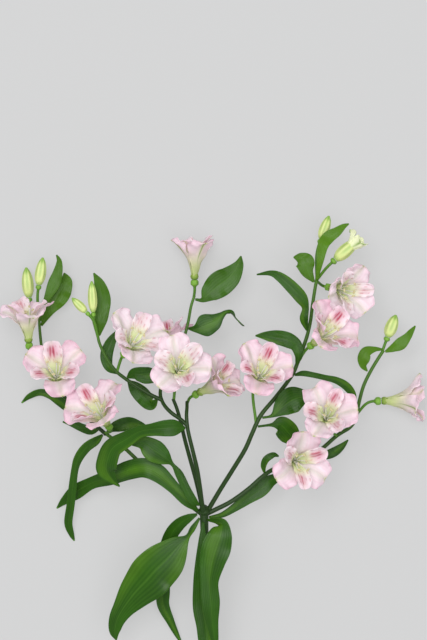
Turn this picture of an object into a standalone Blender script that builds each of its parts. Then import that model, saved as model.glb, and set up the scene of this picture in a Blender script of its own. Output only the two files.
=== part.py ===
"""One cut stem of alstroemeria lying on a table: green stem with its rays, leaves, blooms and buds.

All tables are in millimetres, measured from the whorl where the rays leave the main stem: +X is right
and +Y is towards the flowers, seen from above, and z is the height over the table.
"""

import math

import bpy
import numpy as np

MM = 0.001
WHORL_SHIFT = (-6.6, 35.0, 0.0)  # brings the middle of the whole stem to the origin
BLADE = 0.7  # thickness of a leaf
PETAL = 0.8  # thickness of a petal
SEAT_GAP = 0.3  # between a bloom or bud and the ovary it grows from
FOOT_GAP = 0.5  # between the foot of a leaf and the skin of its stalk
STEM_R = 2.9
RAY_R = 1.5
PEDICEL_R = 1.05
CUT_END = (6.0, -286.0, 2.9)

RAYS = {
    "ray_left": [(-0.6, -0.8, 34), (-12, 8, 34), (-26, 19, 35), (-39, 30, 35), (-51, 42, 36), (-61, 51, 36), (-72, 59, 36)],
    "left_branch": [(-70.6, 57.7, 36.1), (-83, 68, 31), (-92, 76, 26), (-101, 83, 19), (-110, 96, 14), (-117, 110, 12),
                    (-120, 127, 12), (-121, 142, 13)],
    "ray_centre_left": [(-0.2, -1.3, 34.3), (-4, 18, 36), (-9, 37, 41), (-14, 56, 47), (-18, 73, 50), (-22, 84, 52)],
    "ray_centre": [(0.3, -1.8, 34.1), (-2, 13, 46), (-4, 30, 54), (-8, 48, 59), (-12, 66, 60), (-12, 76, 58), (-12, 82, 54)],
    "centre_branch": [(-11.6, 65.3, 59.8), (-18, 71, 60), (-25, 76, 59), (-30, 83, 55), (-31, 90, 50), (-29, 97, 42),
                      (-24, 108, 32), (-18, 119, 26), (-13, 132, 23), (-10, 148, 22), (-7, 158, 21)],
    "shoot": [(-29.5, 83.2, 54.8), (-38, 87, 54), (-48, 93, 52), (-57, 99, 50), (-63, 104, 50), (-69, 112, 50),
              (-74, 122, 50), (-76, 129, 49)],
    "ray_right": [(0.7, -1.1, 33.7), (13, 20, 38), (24, 38, 43), (33, 54, 46), (38, 68, 47), (50, 83, 46), (63, 100, 42),
                  (68, 111, 40), (72, 122, 38), (76, 134, 35), (78, 147, 32), (80, 160, 30), (82, 171, 28)],
    "ray_low_right": [(0.9, -0.4, 33.5), (10, 4, 33), (23, 11, 33), (37, 22, 33), (46, 30, 32), (57, 34, 26), (70, 36, 18),
                      (85, 45, 15), (99, 57, 15), (109, 64, 17), (112, 74, 18), (115, 88, 19), (120, 100, 20),
                      (127, 112, 20), (131, 118, 20)],
}

# x, y, z, width and roll in degrees at points along the midrib, from the stem to the tip
LEAVES = {
    "leaf_whorl_long": [(-5, 3, 39, 4, 0), (-12, 10, 41, 8, 0), (-22, 20, 42, 9, 10), (-33, 30, 42, 13, 5),
                        (-43, 34, 41, 14, 0), (-54, 32, 36, 14, 0), (-68, 26, 24, 12, -10), (-82, 21, 14, 9, 0),
                        (-94, 14, 8, 11, 0), (-103, 7, 3, 6, 0), (-109, 1, 0, 1, 0)],
    "leaf_whorl_upper": [(-4, 6, 42, 3, 0), (-8, 11, 44, 6, 0), (-13, 20, 45, 6, 0), (-18, 30, 45, 6, 20),
                         (-23, 37, 44, 3, 30), (-29, 42, 46, 12, 10), (-36, 47, 47, 16, 0), (-44, 52, 46, 10, 0),
                         (-53, 51, 45, 1, 0)],
    "leaf_whorl_broad": [(-4, -3, 36, 4, 0), (-8, -10, 37, 4, 0), (-12, -16, 40, 4, 0), (-18, -22, 41, 16, 0),
                         (-26, -31, 41, 28, 0), (-35, -40, 40, 32, 0), (-41, -47, 38, 31, 0), (-50, -57, 34, 24, 0),
                         (-58, -68, 30, 16, 0), (-63, -77, 27, 12, 0), (-65, -86, 24, 8, 0), (-64, -93, 22, 1, 0)],
    "leaf_whorl_behind": [(-6, -1, 34, 3, 0), (-11, -3, 32, 6, 0), (-18, -8, 28, 9, 0), (-24, -16, 24, 10, 0),
                          (-28, -28, 20, 10, 0), (-30, -43, 16, 10, 0), (-30, -58, 13, 10, 0), (-30, -69, 10, 9, 0),
                          (-25, -81, 7, 6, 0), (-21, -90, 4, 4, 0), (-16, -100, 2, 1, 0)],
    "leaf_whorl_folded": [(5, -4, 39, 3, 0), (9, -4, 44, 5, 20), (13, -6, 49, 9, 20), (12, -13, 52, 17, 10),
                          (9, -22, 52, 21, 0), (6, -33, 51, 18, 0), (4, -47, 49, 13, 0), (5, -62, 47, 13, 0),
                          (6, -76, 44, 9, 0), (8, -91, 40, 5, 0), (9, -104, 37, 1, 0)],
    "leaf_whorl_under": [(0, -6, 39, 4, 0), (-1, -22, 39, 7, 0), (-1, -40, 37, 12, 0), (-1, -55, 35, 14, 0),
                         (-1, -68, 33, 14, 0), (1, -81, 32, 13, 0), (2, -95, 31, 11, 0), (4, -110, 30, 6, 0),
                         (6, -125, 29, 1, 0)],
    "leaf_whorl_right": [(6, -3, 34, 3, 0), (13, -1, 30, 4, 0), (22, 4, 28, 6, 0), (32, 11, 26, 9, 0),
                         (41, 17, 25, 11, 0), (48, 23, 24, 9, 0), (55, 26, 21, 5, 0), (61, 29, 18, 1, 0)],
    "leaf_centre_draped": [(-16, 63, 63, 3, 0), (-20, 64, 65, 11, 0), (-27, 64, 66, 12, -10), (-37, 63, 65, 10, -30),
                           (-46, 61, 62, 9, -20), (-56, 55, 58, 12, 0), (-65, 49, 54, 14, 0), (-69, 40, 48, 15, 0),
                           (-70, 32, 42, 14, 0), (-66, 25, 37, 6, 0), (-61, 20, 34, 1, 0)],
    "leaf_centre_wide": [(-34, 81, 51, 2, 0), (-38, 80, 47, 9, 0), (-44, 86, 44, 12, 0), (-50, 92, 42, 9, 0),
                         (-55, 97, 41, 1, 0)],
    "leaf_centre_dark": [(-54, 101, 54, 3, 0), (-49, 102, 55, 9, 10), (-41, 101, 55, 12, 10), (-34, 101, 54, 9, 0),
                         (-30, 105, 52, 6, 0), (-32, 110, 51, 1, 0)],
    "leaf_shoot_curved": [(-64, 100, 46, 2, 0), (-68, 106, 44, 6, 0), (-70, 114, 43, 9, 0), (-68, 122, 42, 8, 0),
                          (-64, 129, 41, 5, 0), (-58, 135, 40, 1, 0)],
    "leaf_shoot_pod": [(-77, 132, 45, 2, 0), (-75, 138, 44, 10, 0), (-74, 146, 43, 12, 0), (-73, 156, 43, 12, 0),
                       (-75, 166, 44, 8, 0), (-79, 174, 45, 1, 0)],
    "leaf_left_hanging": [(-74, 56, 34, 3, 0), (-78, 53, 33, 6, 0), (-85, 48, 31, 7, 10), (-91, 40, 27, 7, 20),
                          (-94, 31, 23, 6, 20), (-96, 18, 18, 6, 10), (-98, 4, 12, 6, 0), (-100, -9, 6, 6, 0),
                          (-98, -18, 2, 4, 0), (-96, -23, 0, 1, 0)],
    "leaf_left_behind": [(-69, 61, 34, 3, 0), (-64, 63, 31, 8, 0), (-55, 65, 29, 10, 0), (-47, 64, 27, 6, 0),
                         (-39, 61, 26, 1, 0)],
    "leaf_left_lower": [(-77, 60, 32, 2, 0), (-82, 60, 28, 6, 0), (-89, 62, 25, 6, 0), (-96, 65, 23, 5, 0),
                        (-103, 66, 22, 1, 0)],
    "leaf_left_outer": [(-95, 75, 21, 2, 0), (-99, 76, 17, 6, 0), (-105, 80, 12, 7, 0), (-113, 85, 8, 6, 0),
                        (-121, 87, 6, 5, 0), (-129, 84, 2, 4, 0), (-135, 79, 0, 1, 0)],
    "leaf_left_broad": [(-118, 136, 11, 2, 0), (-114, 147, 9, 8, 0), (-109, 156, 9, 16, 0), (-105, 163, 8, 16, 0),
                        (-102, 169, 7, 10, 0), (-103, 175, 6, 1, 0)],
    "leaf_left_top": [(-119, 139, 17, 2, 0), (-115.5, 154, 18, 4, 0), (-110, 166, 18, 9, 0), (-107, 175, 17, 7, 0),
                      (-106, 183, 16, 4, 0), (-108, 188, 15, 1, 0)],
    "leaf_top_broad": [(-5, 155, 22, 2, 0), (-1, 155, 23, 4, 0), (4, 160, 24, 14, 0), (11, 166, 24, 19, 0),
                       (19, 172, 23, 16, 0), (25, 180, 22, 8, 0), (27, 187, 21, 1, 0)],
    "leaf_top_twisted": [(-10, 134, 25, 2, 0), (-6, 134, 27, 6, 0), (0, 136, 28, 16, 0), (7, 139, 28, 13, 0),
                         (12, 143, 28, 6, 0), (16, 146, 27, 3, 0), (20, 146, 25, 4, 50), (23, 142, 20, 5, 90),
                         (26, 139, 15, 5, 80), (29, 136, 11, 2, 60)],
    "leaf_right_arched": [(66, 109, 44, 3, 0), (68, 115, 47, 6, 0), (66, 122, 47, 9, 0), (60, 126, 47, 11, 0),
                          (52, 128, 46, 10, 0), (44, 129, 45, 6, 0), (37, 129, 44, 1, 0)],
    "leaf_right_long": [(74, 133, 38, 2, 0), (72, 141, 41, 6, 0), (73, 149, 42, 5, 0), (70, 156, 43, 9, 0),
                        (63, 164, 43, 9, 0), (55, 171, 42, 7, 0), (48, 174, 41, 4, 0), (38, 173, 40, 1, 0)],
    "leaf_right_back": [(78, 168, 29, 2, 0), (75, 175, 30, 9, 0), (73, 182, 30, 14, 0), (70, 185, 29, 9, 0),
                        (65, 186, 28, 1, 0)],
    "leaf_right_top": [(82, 169, 31, 2, 0), (84, 183, 35, 5, 0), (86, 194, 34, 8, 0), (90, 200, 32, 9, 0), (96, 204, 32, 7, 0),
                       (101, 208, 31, 4, 0), (105, 210, 30, 1, 0)],
    "leaf_right_narrow": [(66, 101, 44, 3, 0), (71, 102, 46, 4, 0), (78, 101, 47, 4, 0), (87, 99, 47, 4, 0),
                          (95, 97, 46, 5, 0), (102, 93, 44, 6, 0), (107, 87, 40, 5, 0), (109, 80, 35, 2, 0)],
    "leaf_right_dark": [(42, 70, 49, 2, 0), (49, 72, 50, 3, 0), (56, 78, 50, 14, 0), (63, 83, 49, 19, 0),
                        (70, 85, 48, 13, 0), (78, 85, 47, 1, 0)],
    "leaf_right_lower": [(41, 63, 44, 2, 0), (49, 65, 43, 3, 0), (55, 65, 42, 13, 0), (60, 60, 40, 16, 0),
                         (64, 55, 38, 12, 0), (68, 49, 36, 1, 0)],
    "leaf_right_small": [(43, 31, 34, 2, 0), (43, 35, 36, 4, 0), (45, 40, 38, 5, 0), (50, 43, 38, 4, 0),
                         (54, 42, 37, 1, 0)],
    "leaf_right_under": [(84, 42, 12, 2, 0), (89, 41, 10, 6, 0), (95, 43, 9, 7, 0), (101, 47, 8, 5, 0),
                         (106, 52, 7, 1, 0)],
    "leaf_end_up": [(134, 118, 21, 2, 0), (138, 120, 23, 6, 0), (143, 123, 24, 9, 0), (148, 128, 24, 6, 0),
                    (151, 132, 23, 4, 0), (154, 136, 22, 1, 0)],
    "leaf_end_down": [(129, 120, 21, 2, 0), (124, 119, 24, 4, 0), (118, 117, 26, 8, 0), (116, 112, 26, 9, 0),
                      (116, 107, 24, 5, 0), (119, 103, 22, 1, 0)],
}

# base of the flower, its axis, turn about the axis, how far it is open, and the stem point it hangs from
BLOOMS = {
    "bloom_left_outer": ((-127, 124, 30), (-0.08, 0.97, 0.25), 20, 0.76, "left_branch", 5),
    "bloom_left_upper": ((-107, 94, 24), (0.00, 0.52, 0.85), 10, 1.00, "left_branch", 4),
    "bloom_left_lower": ((-69, 65, 46), (-0.37, 0.60, 0.70), 0, 1.00, "ray_left", 6),
    "bloom_shoot": ((-56, 117, 54), (0.40, 0.50, 0.77), 25, 1.00, "shoot", 4),
    "bloom_back": ((-24, 108, 12), (-0.15, 0.97, 0.10), 0, 0.60, "centre_branch", 5),
    "bloom_centre": ((-19, 102, 62), (0.10, 0.30, 0.95), 15, 0.92, "ray_centre_left", 5),
    "bloom_centre_side": ((-4, 88, 50), (0.75, 0.40, 0.50), 40, 0.60, "ray_centre", 6),
    "bloom_top": ((-7, 170, 14), (-0.02, 0.99, 0.10), 30, 0.50, "centre_branch", 10),
    "bloom_right_inner": ((37, 95, 56), (0.20, 0.50, 0.84), 0, 0.88, "ray_right", 4),
    "bloom_right_middle": ((78, 123, 45), (0.55, 0.48, 0.68), 10, 0.95, "ray_right", 7),
    "bloom_right_upper": ((92, 164, 22), (0.55, -0.12, 0.82), 20, 0.80, "ray_right", 12),
    "bloom_right_lower": ((87, 67, 46), (0.03, 0.33, 0.94), 30, 0.84, "ray_low_right", 8),
    "bloom_right_bottom": ((62, 40, 36), (0.34, -0.05, 0.94), 0, 0.92, "ray_low_right", 5),
    "bloom_end": ((130, 81, 13), (0.99, 0.05, 0.08), 30, 0.66, "ray_low_right", 10),
}

# base, tip, widest diameter, and the stem point each bud hangs from
BUDS = {
    "bud_left_outer": ((-129, 157, 6), (-131, 179, 7), 8.5, "left_branch", 7),
    "bud_left_inner": ((-121, 166, 15), (-118, 186, 16), 8.0, "left_branch", 7),
    "bud_in_leaf": ((-79, 146, 52), (-80, 168, 54), 6.5, "shoot", 7),
    "bud_withered": ((-84, 146, 53), (-94, 156, 54), 6.0, "shoot", 7),
    "bud_right_top": ((85, 199, 25), (91, 216, 25), 7.5, "ray_right", 12),
    "bud_right_open": ((95, 184, 34), (112, 199, 36), 10.0, "ray_right", 12),
    "bud_end": ((134, 128, 20), (140, 144, 21), 9.0, "ray_low_right", 14),
}


def clear_scene():
    for obj in list(bpy.data.objects):
        bpy.data.objects.remove(obj, do_unlink=True)


def unit(vector):
    return vector / max(np.linalg.norm(vector), 1e-9)


def smooth_rows(points, count):
    """Catmull-Rom through the rows of a table, evaluated at count evenly spaced parameters."""
    rows = np.array(points, float)
    rows = np.vstack([2 * rows[0] - rows[1], rows, 2 * rows[-1] - rows[-2]])
    at = np.linspace(0, len(points) - 1, count)
    index = np.minimum(at.astype(int), len(points) - 2)
    t = (at - index)[:, None]
    a, b, c, d = (rows[index + k] for k in range(4))
    return 0.5 * (2 * b + (c - a) * t + (2 * a - 5 * b + 4 * c - d) * t**2 + (3 * b - a - 3 * c + d) * t**3)


def add_mesh(name, verts, faces, place=WHORL_SHIFT):
    mesh = bpy.data.meshes.new(name)
    verts = (np.asarray(verts, float) + np.array(place)) * MM
    mesh.from_pydata(verts.tolist(), [], faces)
    mesh.update()
    obj = bpy.data.objects.new(name, mesh)
    bpy.context.collection.objects.link(obj)
    return obj


def blade(grid, thickness, floor=True):
    """A closed leaf or petal: the same triangles on the upper and the lower face of a waved grid."""
    rows, cols = grid.shape[:2]
    along = np.gradient(grid, axis=0)
    across = np.gradient(grid, axis=1)
    normal = np.cross(along, across)
    normal /= np.maximum(np.linalg.norm(normal, axis=2, keepdims=True), 1e-9)
    upper = grid + normal * thickness / 2
    lower = grid - normal * thickness / 2
    if floor:
        upper[:, :, 2] = np.maximum(upper[:, :, 2], thickness)
        lower[:, :, 2] = np.maximum(lower[:, :, 2], 0)
    verts = np.vstack([upper.reshape(-1, 3), lower.reshape(-1, 3)])
    total = rows * cols
    faces = []
    for i in range(rows - 1):
        for j in range(cols - 1):
            a, b = i * cols + j, i * cols + j + 1
            c, d = b + cols, a + cols
            pair = ((a, b, c), (a, c, d)) if (i + j) % 2 else ((a, b, d), (b, c, d))
            for triangle in pair:
                faces.append(triangle[::-1])
                faces.append(tuple(k + total for k in triangle))
    rim = [j for j in range(cols)] + [i * cols + cols - 1 for i in range(1, rows)]
    rim += [(rows - 1) * cols + j for j in range(cols - 2, -1, -1)] + [i * cols for i in range(rows - 2, 0, -1)]
    for k, a in enumerate(rim):
        b = rim[(k + 1) % len(rim)]
        faces.append((a, b, b + total))
        faces.append((a, b + total, a + total))
    return verts, faces


def leaf_grid(table, rows, cols, phase):
    """Midrib through the table's points; the edges are cupped and gently waved across a blade of its width."""
    line = smooth_rows(table, rows)
    centre, width, roll = line[:, :3], np.maximum(line[:, 3], 0.9), np.radians(line[:, 4])
    tangent = np.gradient(centre, axis=0)
    tangent /= np.linalg.norm(tangent, axis=1, keepdims=True)
    side = np.cross(tangent, np.array([0.0, 0.0, 1.0]))
    side /= np.linalg.norm(side, axis=1, keepdims=True)
    up = np.cross(side, tangent)
    turned = side * np.cos(roll)[:, None] - up * np.sin(roll)[:, None]
    normal = np.cross(turned, tangent)
    v = np.linspace(-1, 1, cols)[None, :, None]
    half = (width / 2)[:, None, None]
    u = np.linspace(0, 1, rows)[:, None, None]
    wave = 0.10 * half * v * np.sin(2 * math.pi * 2.2 * u + phase)
    lift = 0.16 * half * v**2 + wave
    return centre[:, None] + turned[:, None] * v * half + normal[:, None] * lift


def frame_of(axis, turn):
    w = unit(np.array(axis, float))
    helper = np.array([0.0, 0.0, 1.0]) if abs(w[2]) < 0.9 else np.array([0.0, 1.0, 0.0])
    e = unit(np.cross(helper, w))
    f = np.cross(w, e)
    angle = math.radians(turn)
    return e * math.cos(angle) + f * math.sin(angle), f * math.cos(angle) - e * math.sin(angle), w


# radius, distance along the axis and width of a petal, from its claw to its tip
OUTER_PETAL = [(2.0, 1.0, 4.0), (3.6, 8.0, 8.0), (7.5, 15.5, 16.0), (14.0, 21.0, 24.0), (20.0, 23.5, 22.0),
               (23.5, 23.5, 10.0)]
INNER_PETAL = [(1.5, 1.5, 3.5), (2.6, 9.0, 5.5), (5.5, 17.0, 9.0), (10.5, 23.5, 13.0), (15.5, 27.0, 12.0),
               (19.5, 28.0, 4.0)]


def petal_grid(profile, rows, cols, spread, bend, cup, phase):
    """Petal standing over the local +X side of an upright flower."""
    line = smooth_rows(profile, rows)
    opening = 0.35 + 0.65 * spread
    reach = np.hypot(line[:, 0], 0)
    radius = 1.5 + (reach - 1.5) * opening
    height = line[:, 1] + (reach - reach * opening) * 0.45
    u = np.linspace(0, 1, rows)
    height = height + bend * 6.0 * u**3
    v = np.linspace(-1, 1, cols)
    half = line[:, 2][:, None] / 2 * (0.55 + 0.45 * min(spread, 1.0))
    curl = cup * half * (v**2)[None, :]
    frill = 0.08 * half * v[None, :] * np.sin(2 * math.pi * 1.3 * u + phase)[:, None]
    slope = np.arctan2(np.gradient(height), np.gradient(radius))
    x = radius[:, None] - np.sin(slope)[:, None] * (curl + frill)
    z = height[:, None] + np.cos(slope)[:, None] * (curl + frill)
    y = half * v[None, :]
    return np.stack([x, y, z], axis=2)


def turn_about_axis(points, degrees):
    angle = math.radians(degrees)
    c, s = math.cos(angle), math.sin(angle)
    x, y, z = np.moveaxis(points, -1, 0)
    return np.stack([c * x - s * y, s * x + c * y, z], axis=-1)


def flower_petals(seed, spread):
    """The six petals in the flower's own frame: three broad outer ones under three narrow inner ones."""
    chance = np.random.default_rng(seed)
    grids = []
    for k in range(3):
        bend, turn = chance.uniform(-0.35, 0.35), chance.uniform(-6, 6)
        grid = petal_grid(OUTER_PETAL, 5, 4, spread, bend, 0.22, chance.uniform(0, 6))
        grids.append(turn_about_axis(grid, 90 + 120 * k + turn))
    for k in range(3):
        bend, turn = chance.uniform(-0.2, 0.3), chance.uniform(-6, 6)
        grid = petal_grid(INNER_PETAL, 5, 3, spread, bend, 0.3, chance.uniform(0, 6))
        grids.append(turn_about_axis(grid, 30 + 120 * k + turn))
    return grids


def tube(path, radii, sides):
    """A closed tube with flat ends through the points of a path."""
    path = np.array(path, float)
    tangent = np.gradient(path, axis=0)
    tangent /= np.linalg.norm(tangent, axis=1, keepdims=True)
    helper = np.array([0.0, 0.0, 1.0]) if abs(tangent[0][2]) < 0.8 else np.array([1.0, 0.0, 0.0])
    side = unit(np.cross(helper, tangent[0]))
    rings = []
    for centre, direction, radius in zip(path, tangent, radii):
        side = unit(side - direction * np.dot(side, direction))
        other = np.cross(direction, side)
        angles = np.arange(sides) * 2 * math.pi / sides
        rings.append(centre + radius * (np.cos(angles)[:, None] * side + np.sin(angles)[:, None] * other))
    verts = np.vstack(rings + [path[:1], path[-1:]])
    first, last = len(path) * sides, len(path) * sides + 1
    faces = []
    for i in range(len(path) - 1):
        for j in range(sides):
            a, b = i * sides + j, i * sides + (j + 1) % sides
            faces += [(a, b, b + sides), (a, b + sides, a + sides)]
    end = (len(path) - 1) * sides
    for j in range(sides):
        faces.append((first, (j + 1) % sides, j))
        faces.append((last, end + j, end + (j + 1) % sides))
    return verts, faces


def joined(name, pieces):
    """One solid from overlapping closed pieces."""
    group = bpy.data.collections.new(name + "_pieces")
    objects = [add_mesh(f"{name}_{k}", *piece) for k, piece in enumerate(pieces)]
    base = objects[0]
    for obj in objects[1:]:
        group.objects.link(obj)
        bpy.context.collection.objects.unlink(obj)
    union = base.modifiers.new("join", "BOOLEAN")
    union.operation = "UNION"
    union.operand_type = "COLLECTION"
    union.collection = group
    union.solver = "EXACT"
    union.use_self = False
    mesh = bpy.data.meshes.new_from_object(base.evaluated_get(bpy.context.evaluated_depsgraph_get()))
    for obj in objects:
        bpy.data.objects.remove(obj, do_unlink=True)
    bpy.data.collections.remove(group)
    whole = bpy.data.objects.new(name, mesh)
    bpy.context.collection.objects.link(whole)
    return whole


def material(name, colour, roughness):
    made = bpy.data.materials.new(name)
    made.use_nodes = True
    shader = made.node_tree.nodes["Principled BSDF"]
    shader.inputs["Base Color"].default_value = (*colour, 1)
    shader.inputs["Roughness"].default_value = roughness
    return made


def build_bloom(name, spec, seed):
    base, axis, turn, spread = spec[:4]
    e, f, w = frame_of(axis, turn)
    matrix = np.array([e, f, w])
    place = lambda points: np.asarray(points) @ matrix + np.array(base)
    pieces = []
    cup, cup_faces = tube([(0, 0, 0), (0, 0, 2), (0, 0, 5)], [2.0, 2.9, 2.2], 6)
    pieces.append((place(cup), cup_faces))
    for grid in flower_petals(seed, spread):
        verts, faces = blade(place(grid), PETAL)
        pieces.append((verts, faces))
    for k in range(4):
        angle = math.radians(60 + 90 * k)
        lean = 3.5 + (k % 2)
        c, s = math.cos(angle), math.sin(angle)
        path = [(0.5 * c, 0.5 * s, 3), (1.6 * c, 1.6 * s, 15), (lean * c * 1.2, lean * s * 1.2, 24 + k)]
        verts, faces = tube(path, [0.55, 0.5, 1.0], 3)
        pieces.append((place(verts), faces))
    return joined(name, pieces)


def build_bud(name, spec):
    base, tip, width = spec[:3]
    base, tip = np.array(base, float), np.array(tip, float)
    along = [0, 0.12, 0.4, 0.7, 0.9, 1]
    thick = [0.45, 0.8, 1.0, 0.85, 0.5, 0.12]
    path = [base + (tip - base) * a for a in along]
    verts, faces = tube(path, [width / 2 * t for t in thick], 8)
    return add_mesh(name, verts, faces)


def main_stem_line():
    line = smooth_rows([CUT_END, (5, -240, 6), (3, -170, 14), (2, -100, 23), (1, -40, 31), (0.1, -1.4, 34),
                        (0.2, 2.3, 35.3)], 9)
    return np.vstack([line, [(0.25, 4.4, 36.1)]]), [STEM_R] * 7 + [3.3, 4.1, 2.9]


def ray_line(name):
    points = RAYS[name]
    line = smooth_rows(points, len(points) + 2)
    thin = 1.0 if name.startswith("ray") else 0.85
    return line, np.linspace(RAY_R * thin * 1.15, RAY_R * thin * 0.8, len(line))


def seated(table):
    """The leaf's table with its foot moved onto the skin of the nearest stalk."""
    foot, second = np.array(table[0][:3], float), np.array(table[1][:3], float)
    best = None
    for line, radii in [main_stem_line()] + [ray_line(name) for name in RAYS]:
        fine = smooth_rows(np.column_stack([line, radii]), 12 * len(line))
        away = np.linalg.norm(fine[:, :3] - foot, axis=1) - fine[:, 3]
        k = int(np.argmin(away))
        if best is None or away[k] < best[0]:
            tangent = unit(fine[min(k + 1, len(fine) - 1), :3] - fine[max(k - 1, 0), :3])
            best = (away[k], fine[k, :3], fine[k, 3], tangent)
    _, centre, radius, tangent = best
    out = second - centre
    out = unit(out - tangent * np.dot(out, tangent))
    foot = centre + out * (radius + FOOT_GAP)
    return [(*foot, 1.6, 0)] + list(table[1:])


def stem_pieces():
    verts, faces = tube(*main_stem_line(), 8)
    verts[:, 2] = np.maximum(verts[:, 2], 0)
    pieces = [(verts, faces)]
    for name in RAYS:
        pieces.append(tube(*ray_line(name), 6))
    for k, (base, axis, _, _, branch, index) in enumerate(BLOOMS.values()):
        pieces.append(pedicel(base, axis, joint_on(branch, index, 0.6 + 0.17 * k), 5.5, 2.7))
    for k, (base, tip, width, branch, index) in enumerate(BUDS.values()):
        axis = np.array(tip, float) - np.array(base, float)
        pieces.append(pedicel(base, axis, joint_on(branch, index, 0.8 + 0.23 * k), 3.5, width * 0.24))
    return pieces


def joint_on(branch, index, back):
    """The point on a ray where a pedicel leaves it, a little back along the ray so that no two meet at one."""
    here, before = np.array(RAYS[branch][index], float), np.array(RAYS[branch][index - 1], float)
    return here + unit(before - here) * back


def pedicel(base, axis, start, ovary, radius):
    """A thin stalk that leaves its ray and turns into the flower's axis, with the ovary at its end."""
    w = unit(np.array(axis, float))
    end = np.array(base, float) - w * SEAT_GAP
    neck = end - w * ovary
    reach = np.linalg.norm(neck - start)
    t = np.linspace(0, 1, 3)[:, None]
    first = start + unit(neck - start) * reach * 0.3 + np.array([0, 0, -0.05 * reach])
    second = neck - w * reach * 0.4
    curve = start * (1 - t) ** 3 + 3 * first * t * (1 - t) ** 2 + 3 * second * t**2 * (1 - t) + neck * t**3
    path = np.vstack([curve, neck + w * ovary * 0.35, neck + w * ovary * 0.8, end])
    radii = [PEDICEL_R * 1.1, PEDICEL_R, PEDICEL_R, radius, radius, radius * 0.75]
    return tube(path, radii, 6)


def build():
    clear_scene()
    green = material("leaf_green", (0.045, 0.13, 0.02), 0.4)
    stalk = material("stem_green", (0.07, 0.14, 0.05), 0.5)
    pink = material("petal_pink", (0.85, 0.62, 0.7), 0.5)
    lime = material("bud_green", (0.55, 0.66, 0.22), 0.5)
    stem = joined("stem", stem_pieces())
    stem.data.materials.append(stalk)
    for k, (name, table) in enumerate(LEAVES.items()):
        widest = max(row[3] for row in table)
        rows, cols = (9, 3) if len(table) > 7 else (6, 3)
        if widest > 20:
            rows, cols = 10, 5
        verts, faces = blade(leaf_grid(seated(table), rows, cols, 0.9 * k), BLADE)
        add_mesh(name, verts, faces).data.materials.append(green)
    for k, (name, spec) in enumerate(BLOOMS.items()):
        build_bloom(name, spec, 11 + k).data.materials.append(pink)
    for name, spec in BUDS.items():
        build_bud(name, spec).data.materials.append(lime)


build()
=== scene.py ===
# %% [markdown]
# # A cut stem of alstroemeria, drawn finely
#
# The real thing is one cut flower stem. A green stalk divides into five rays at a whorl of leaves, and
# flowers, leaves and buds stand along the rays. Here it lies on a pale table, and the camera looks straight
# down on it.
#
# Leaves and petals could be sculpted by hand, or bent out of flat planes with modifiers. This lesson writes
# each one as a formula of two numbers, u along the piece and v across it, and works it out on a whole grid at
# once. The same formula then serves for the next leaf, and it never leaves a hole in the surface.

# %% Imports, and the solid model
"""Alstroemeria stem: fine surfaces over the solid model, their finishes, the light and the camera.

A leaf is midrib(u) + side(u) * v * width(u) / 2 + normal(u) * (cup * v squared + wave * v).
A petal is the same sheet bent round the axis of its flower.
A stalk is a ring of radius(u) carried along a path.
"""

import math

import bpy
import numpy as np
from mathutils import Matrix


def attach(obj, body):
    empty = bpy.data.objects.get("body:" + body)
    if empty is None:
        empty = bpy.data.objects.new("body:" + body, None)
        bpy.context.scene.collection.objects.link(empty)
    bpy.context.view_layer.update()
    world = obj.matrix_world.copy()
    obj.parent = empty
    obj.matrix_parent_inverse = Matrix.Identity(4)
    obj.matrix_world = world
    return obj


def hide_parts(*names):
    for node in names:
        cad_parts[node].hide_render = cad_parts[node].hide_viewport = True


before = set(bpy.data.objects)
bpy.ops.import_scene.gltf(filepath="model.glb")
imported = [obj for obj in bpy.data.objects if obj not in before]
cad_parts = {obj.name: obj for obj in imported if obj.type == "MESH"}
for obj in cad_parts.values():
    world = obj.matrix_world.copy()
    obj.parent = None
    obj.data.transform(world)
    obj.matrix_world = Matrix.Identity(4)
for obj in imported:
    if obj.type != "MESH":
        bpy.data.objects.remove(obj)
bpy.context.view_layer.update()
print("solid model:", len(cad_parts), "nodes")

# %% [markdown]
# ## Camera
#
# The photograph looks down on the stem from far enough away that nothing seems to lean. A long lens 1.5 m
# above the table gives the same view. An orthographic camera would also do, but it would lose the slight
# growth of the flowers that stand nearer to the lens.
#
# The tables further down are in millimetres from the whorl, so the whorl's own place in the frame comes
# first.

# %% The camera, and the place of the whorl
MM = 0.001
WHORL = np.array([-6.6, 35.0, 0.0])
CAMERA_HEIGHT = 1.5
SEEN_HEIGHT = 0.4608
SHARP_LEVEL = 0.04
SEEN_MIDDLE = (6.9, 140.3)

scene = bpy.context.scene
camera = bpy.data.objects.new("camera", bpy.data.cameras.new("camera"))
bpy.context.collection.objects.link(camera)
scene.camera = camera
camera.data.sensor_fit = "VERTICAL"
camera.data.sensor_height = 36.0
camera.data.lens = camera.data.sensor_height * (CAMERA_HEIGHT - SHARP_LEVEL) / SEEN_HEIGHT
camera.location = (*((WHORL[:2] + SEEN_MIDDLE) * MM), CAMERA_HEIGHT)
print(f"lens {camera.data.lens:.0f} mm, {SEEN_HEIGHT * 1000:.0f} mm seen from top to bottom")

# %% [markdown]
# ## The plant's tables
#
# A plant has no symmetry to lean on, so its design is a few tables of points: where each ray runs, where each
# leaf's midrib goes and how wide it is there, and where each flower stands and faces. They could come from a
# growth rule, but then the leaves would not lie where this plant's leaves lie. The solid model uses the same
# tables, so every fine piece falls on its solid.
#
# First the rays: the points that each stalk runs through.

# %% Points of the rays and branches
CUT_END = (6.0, -286.0, 2.9)

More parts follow.
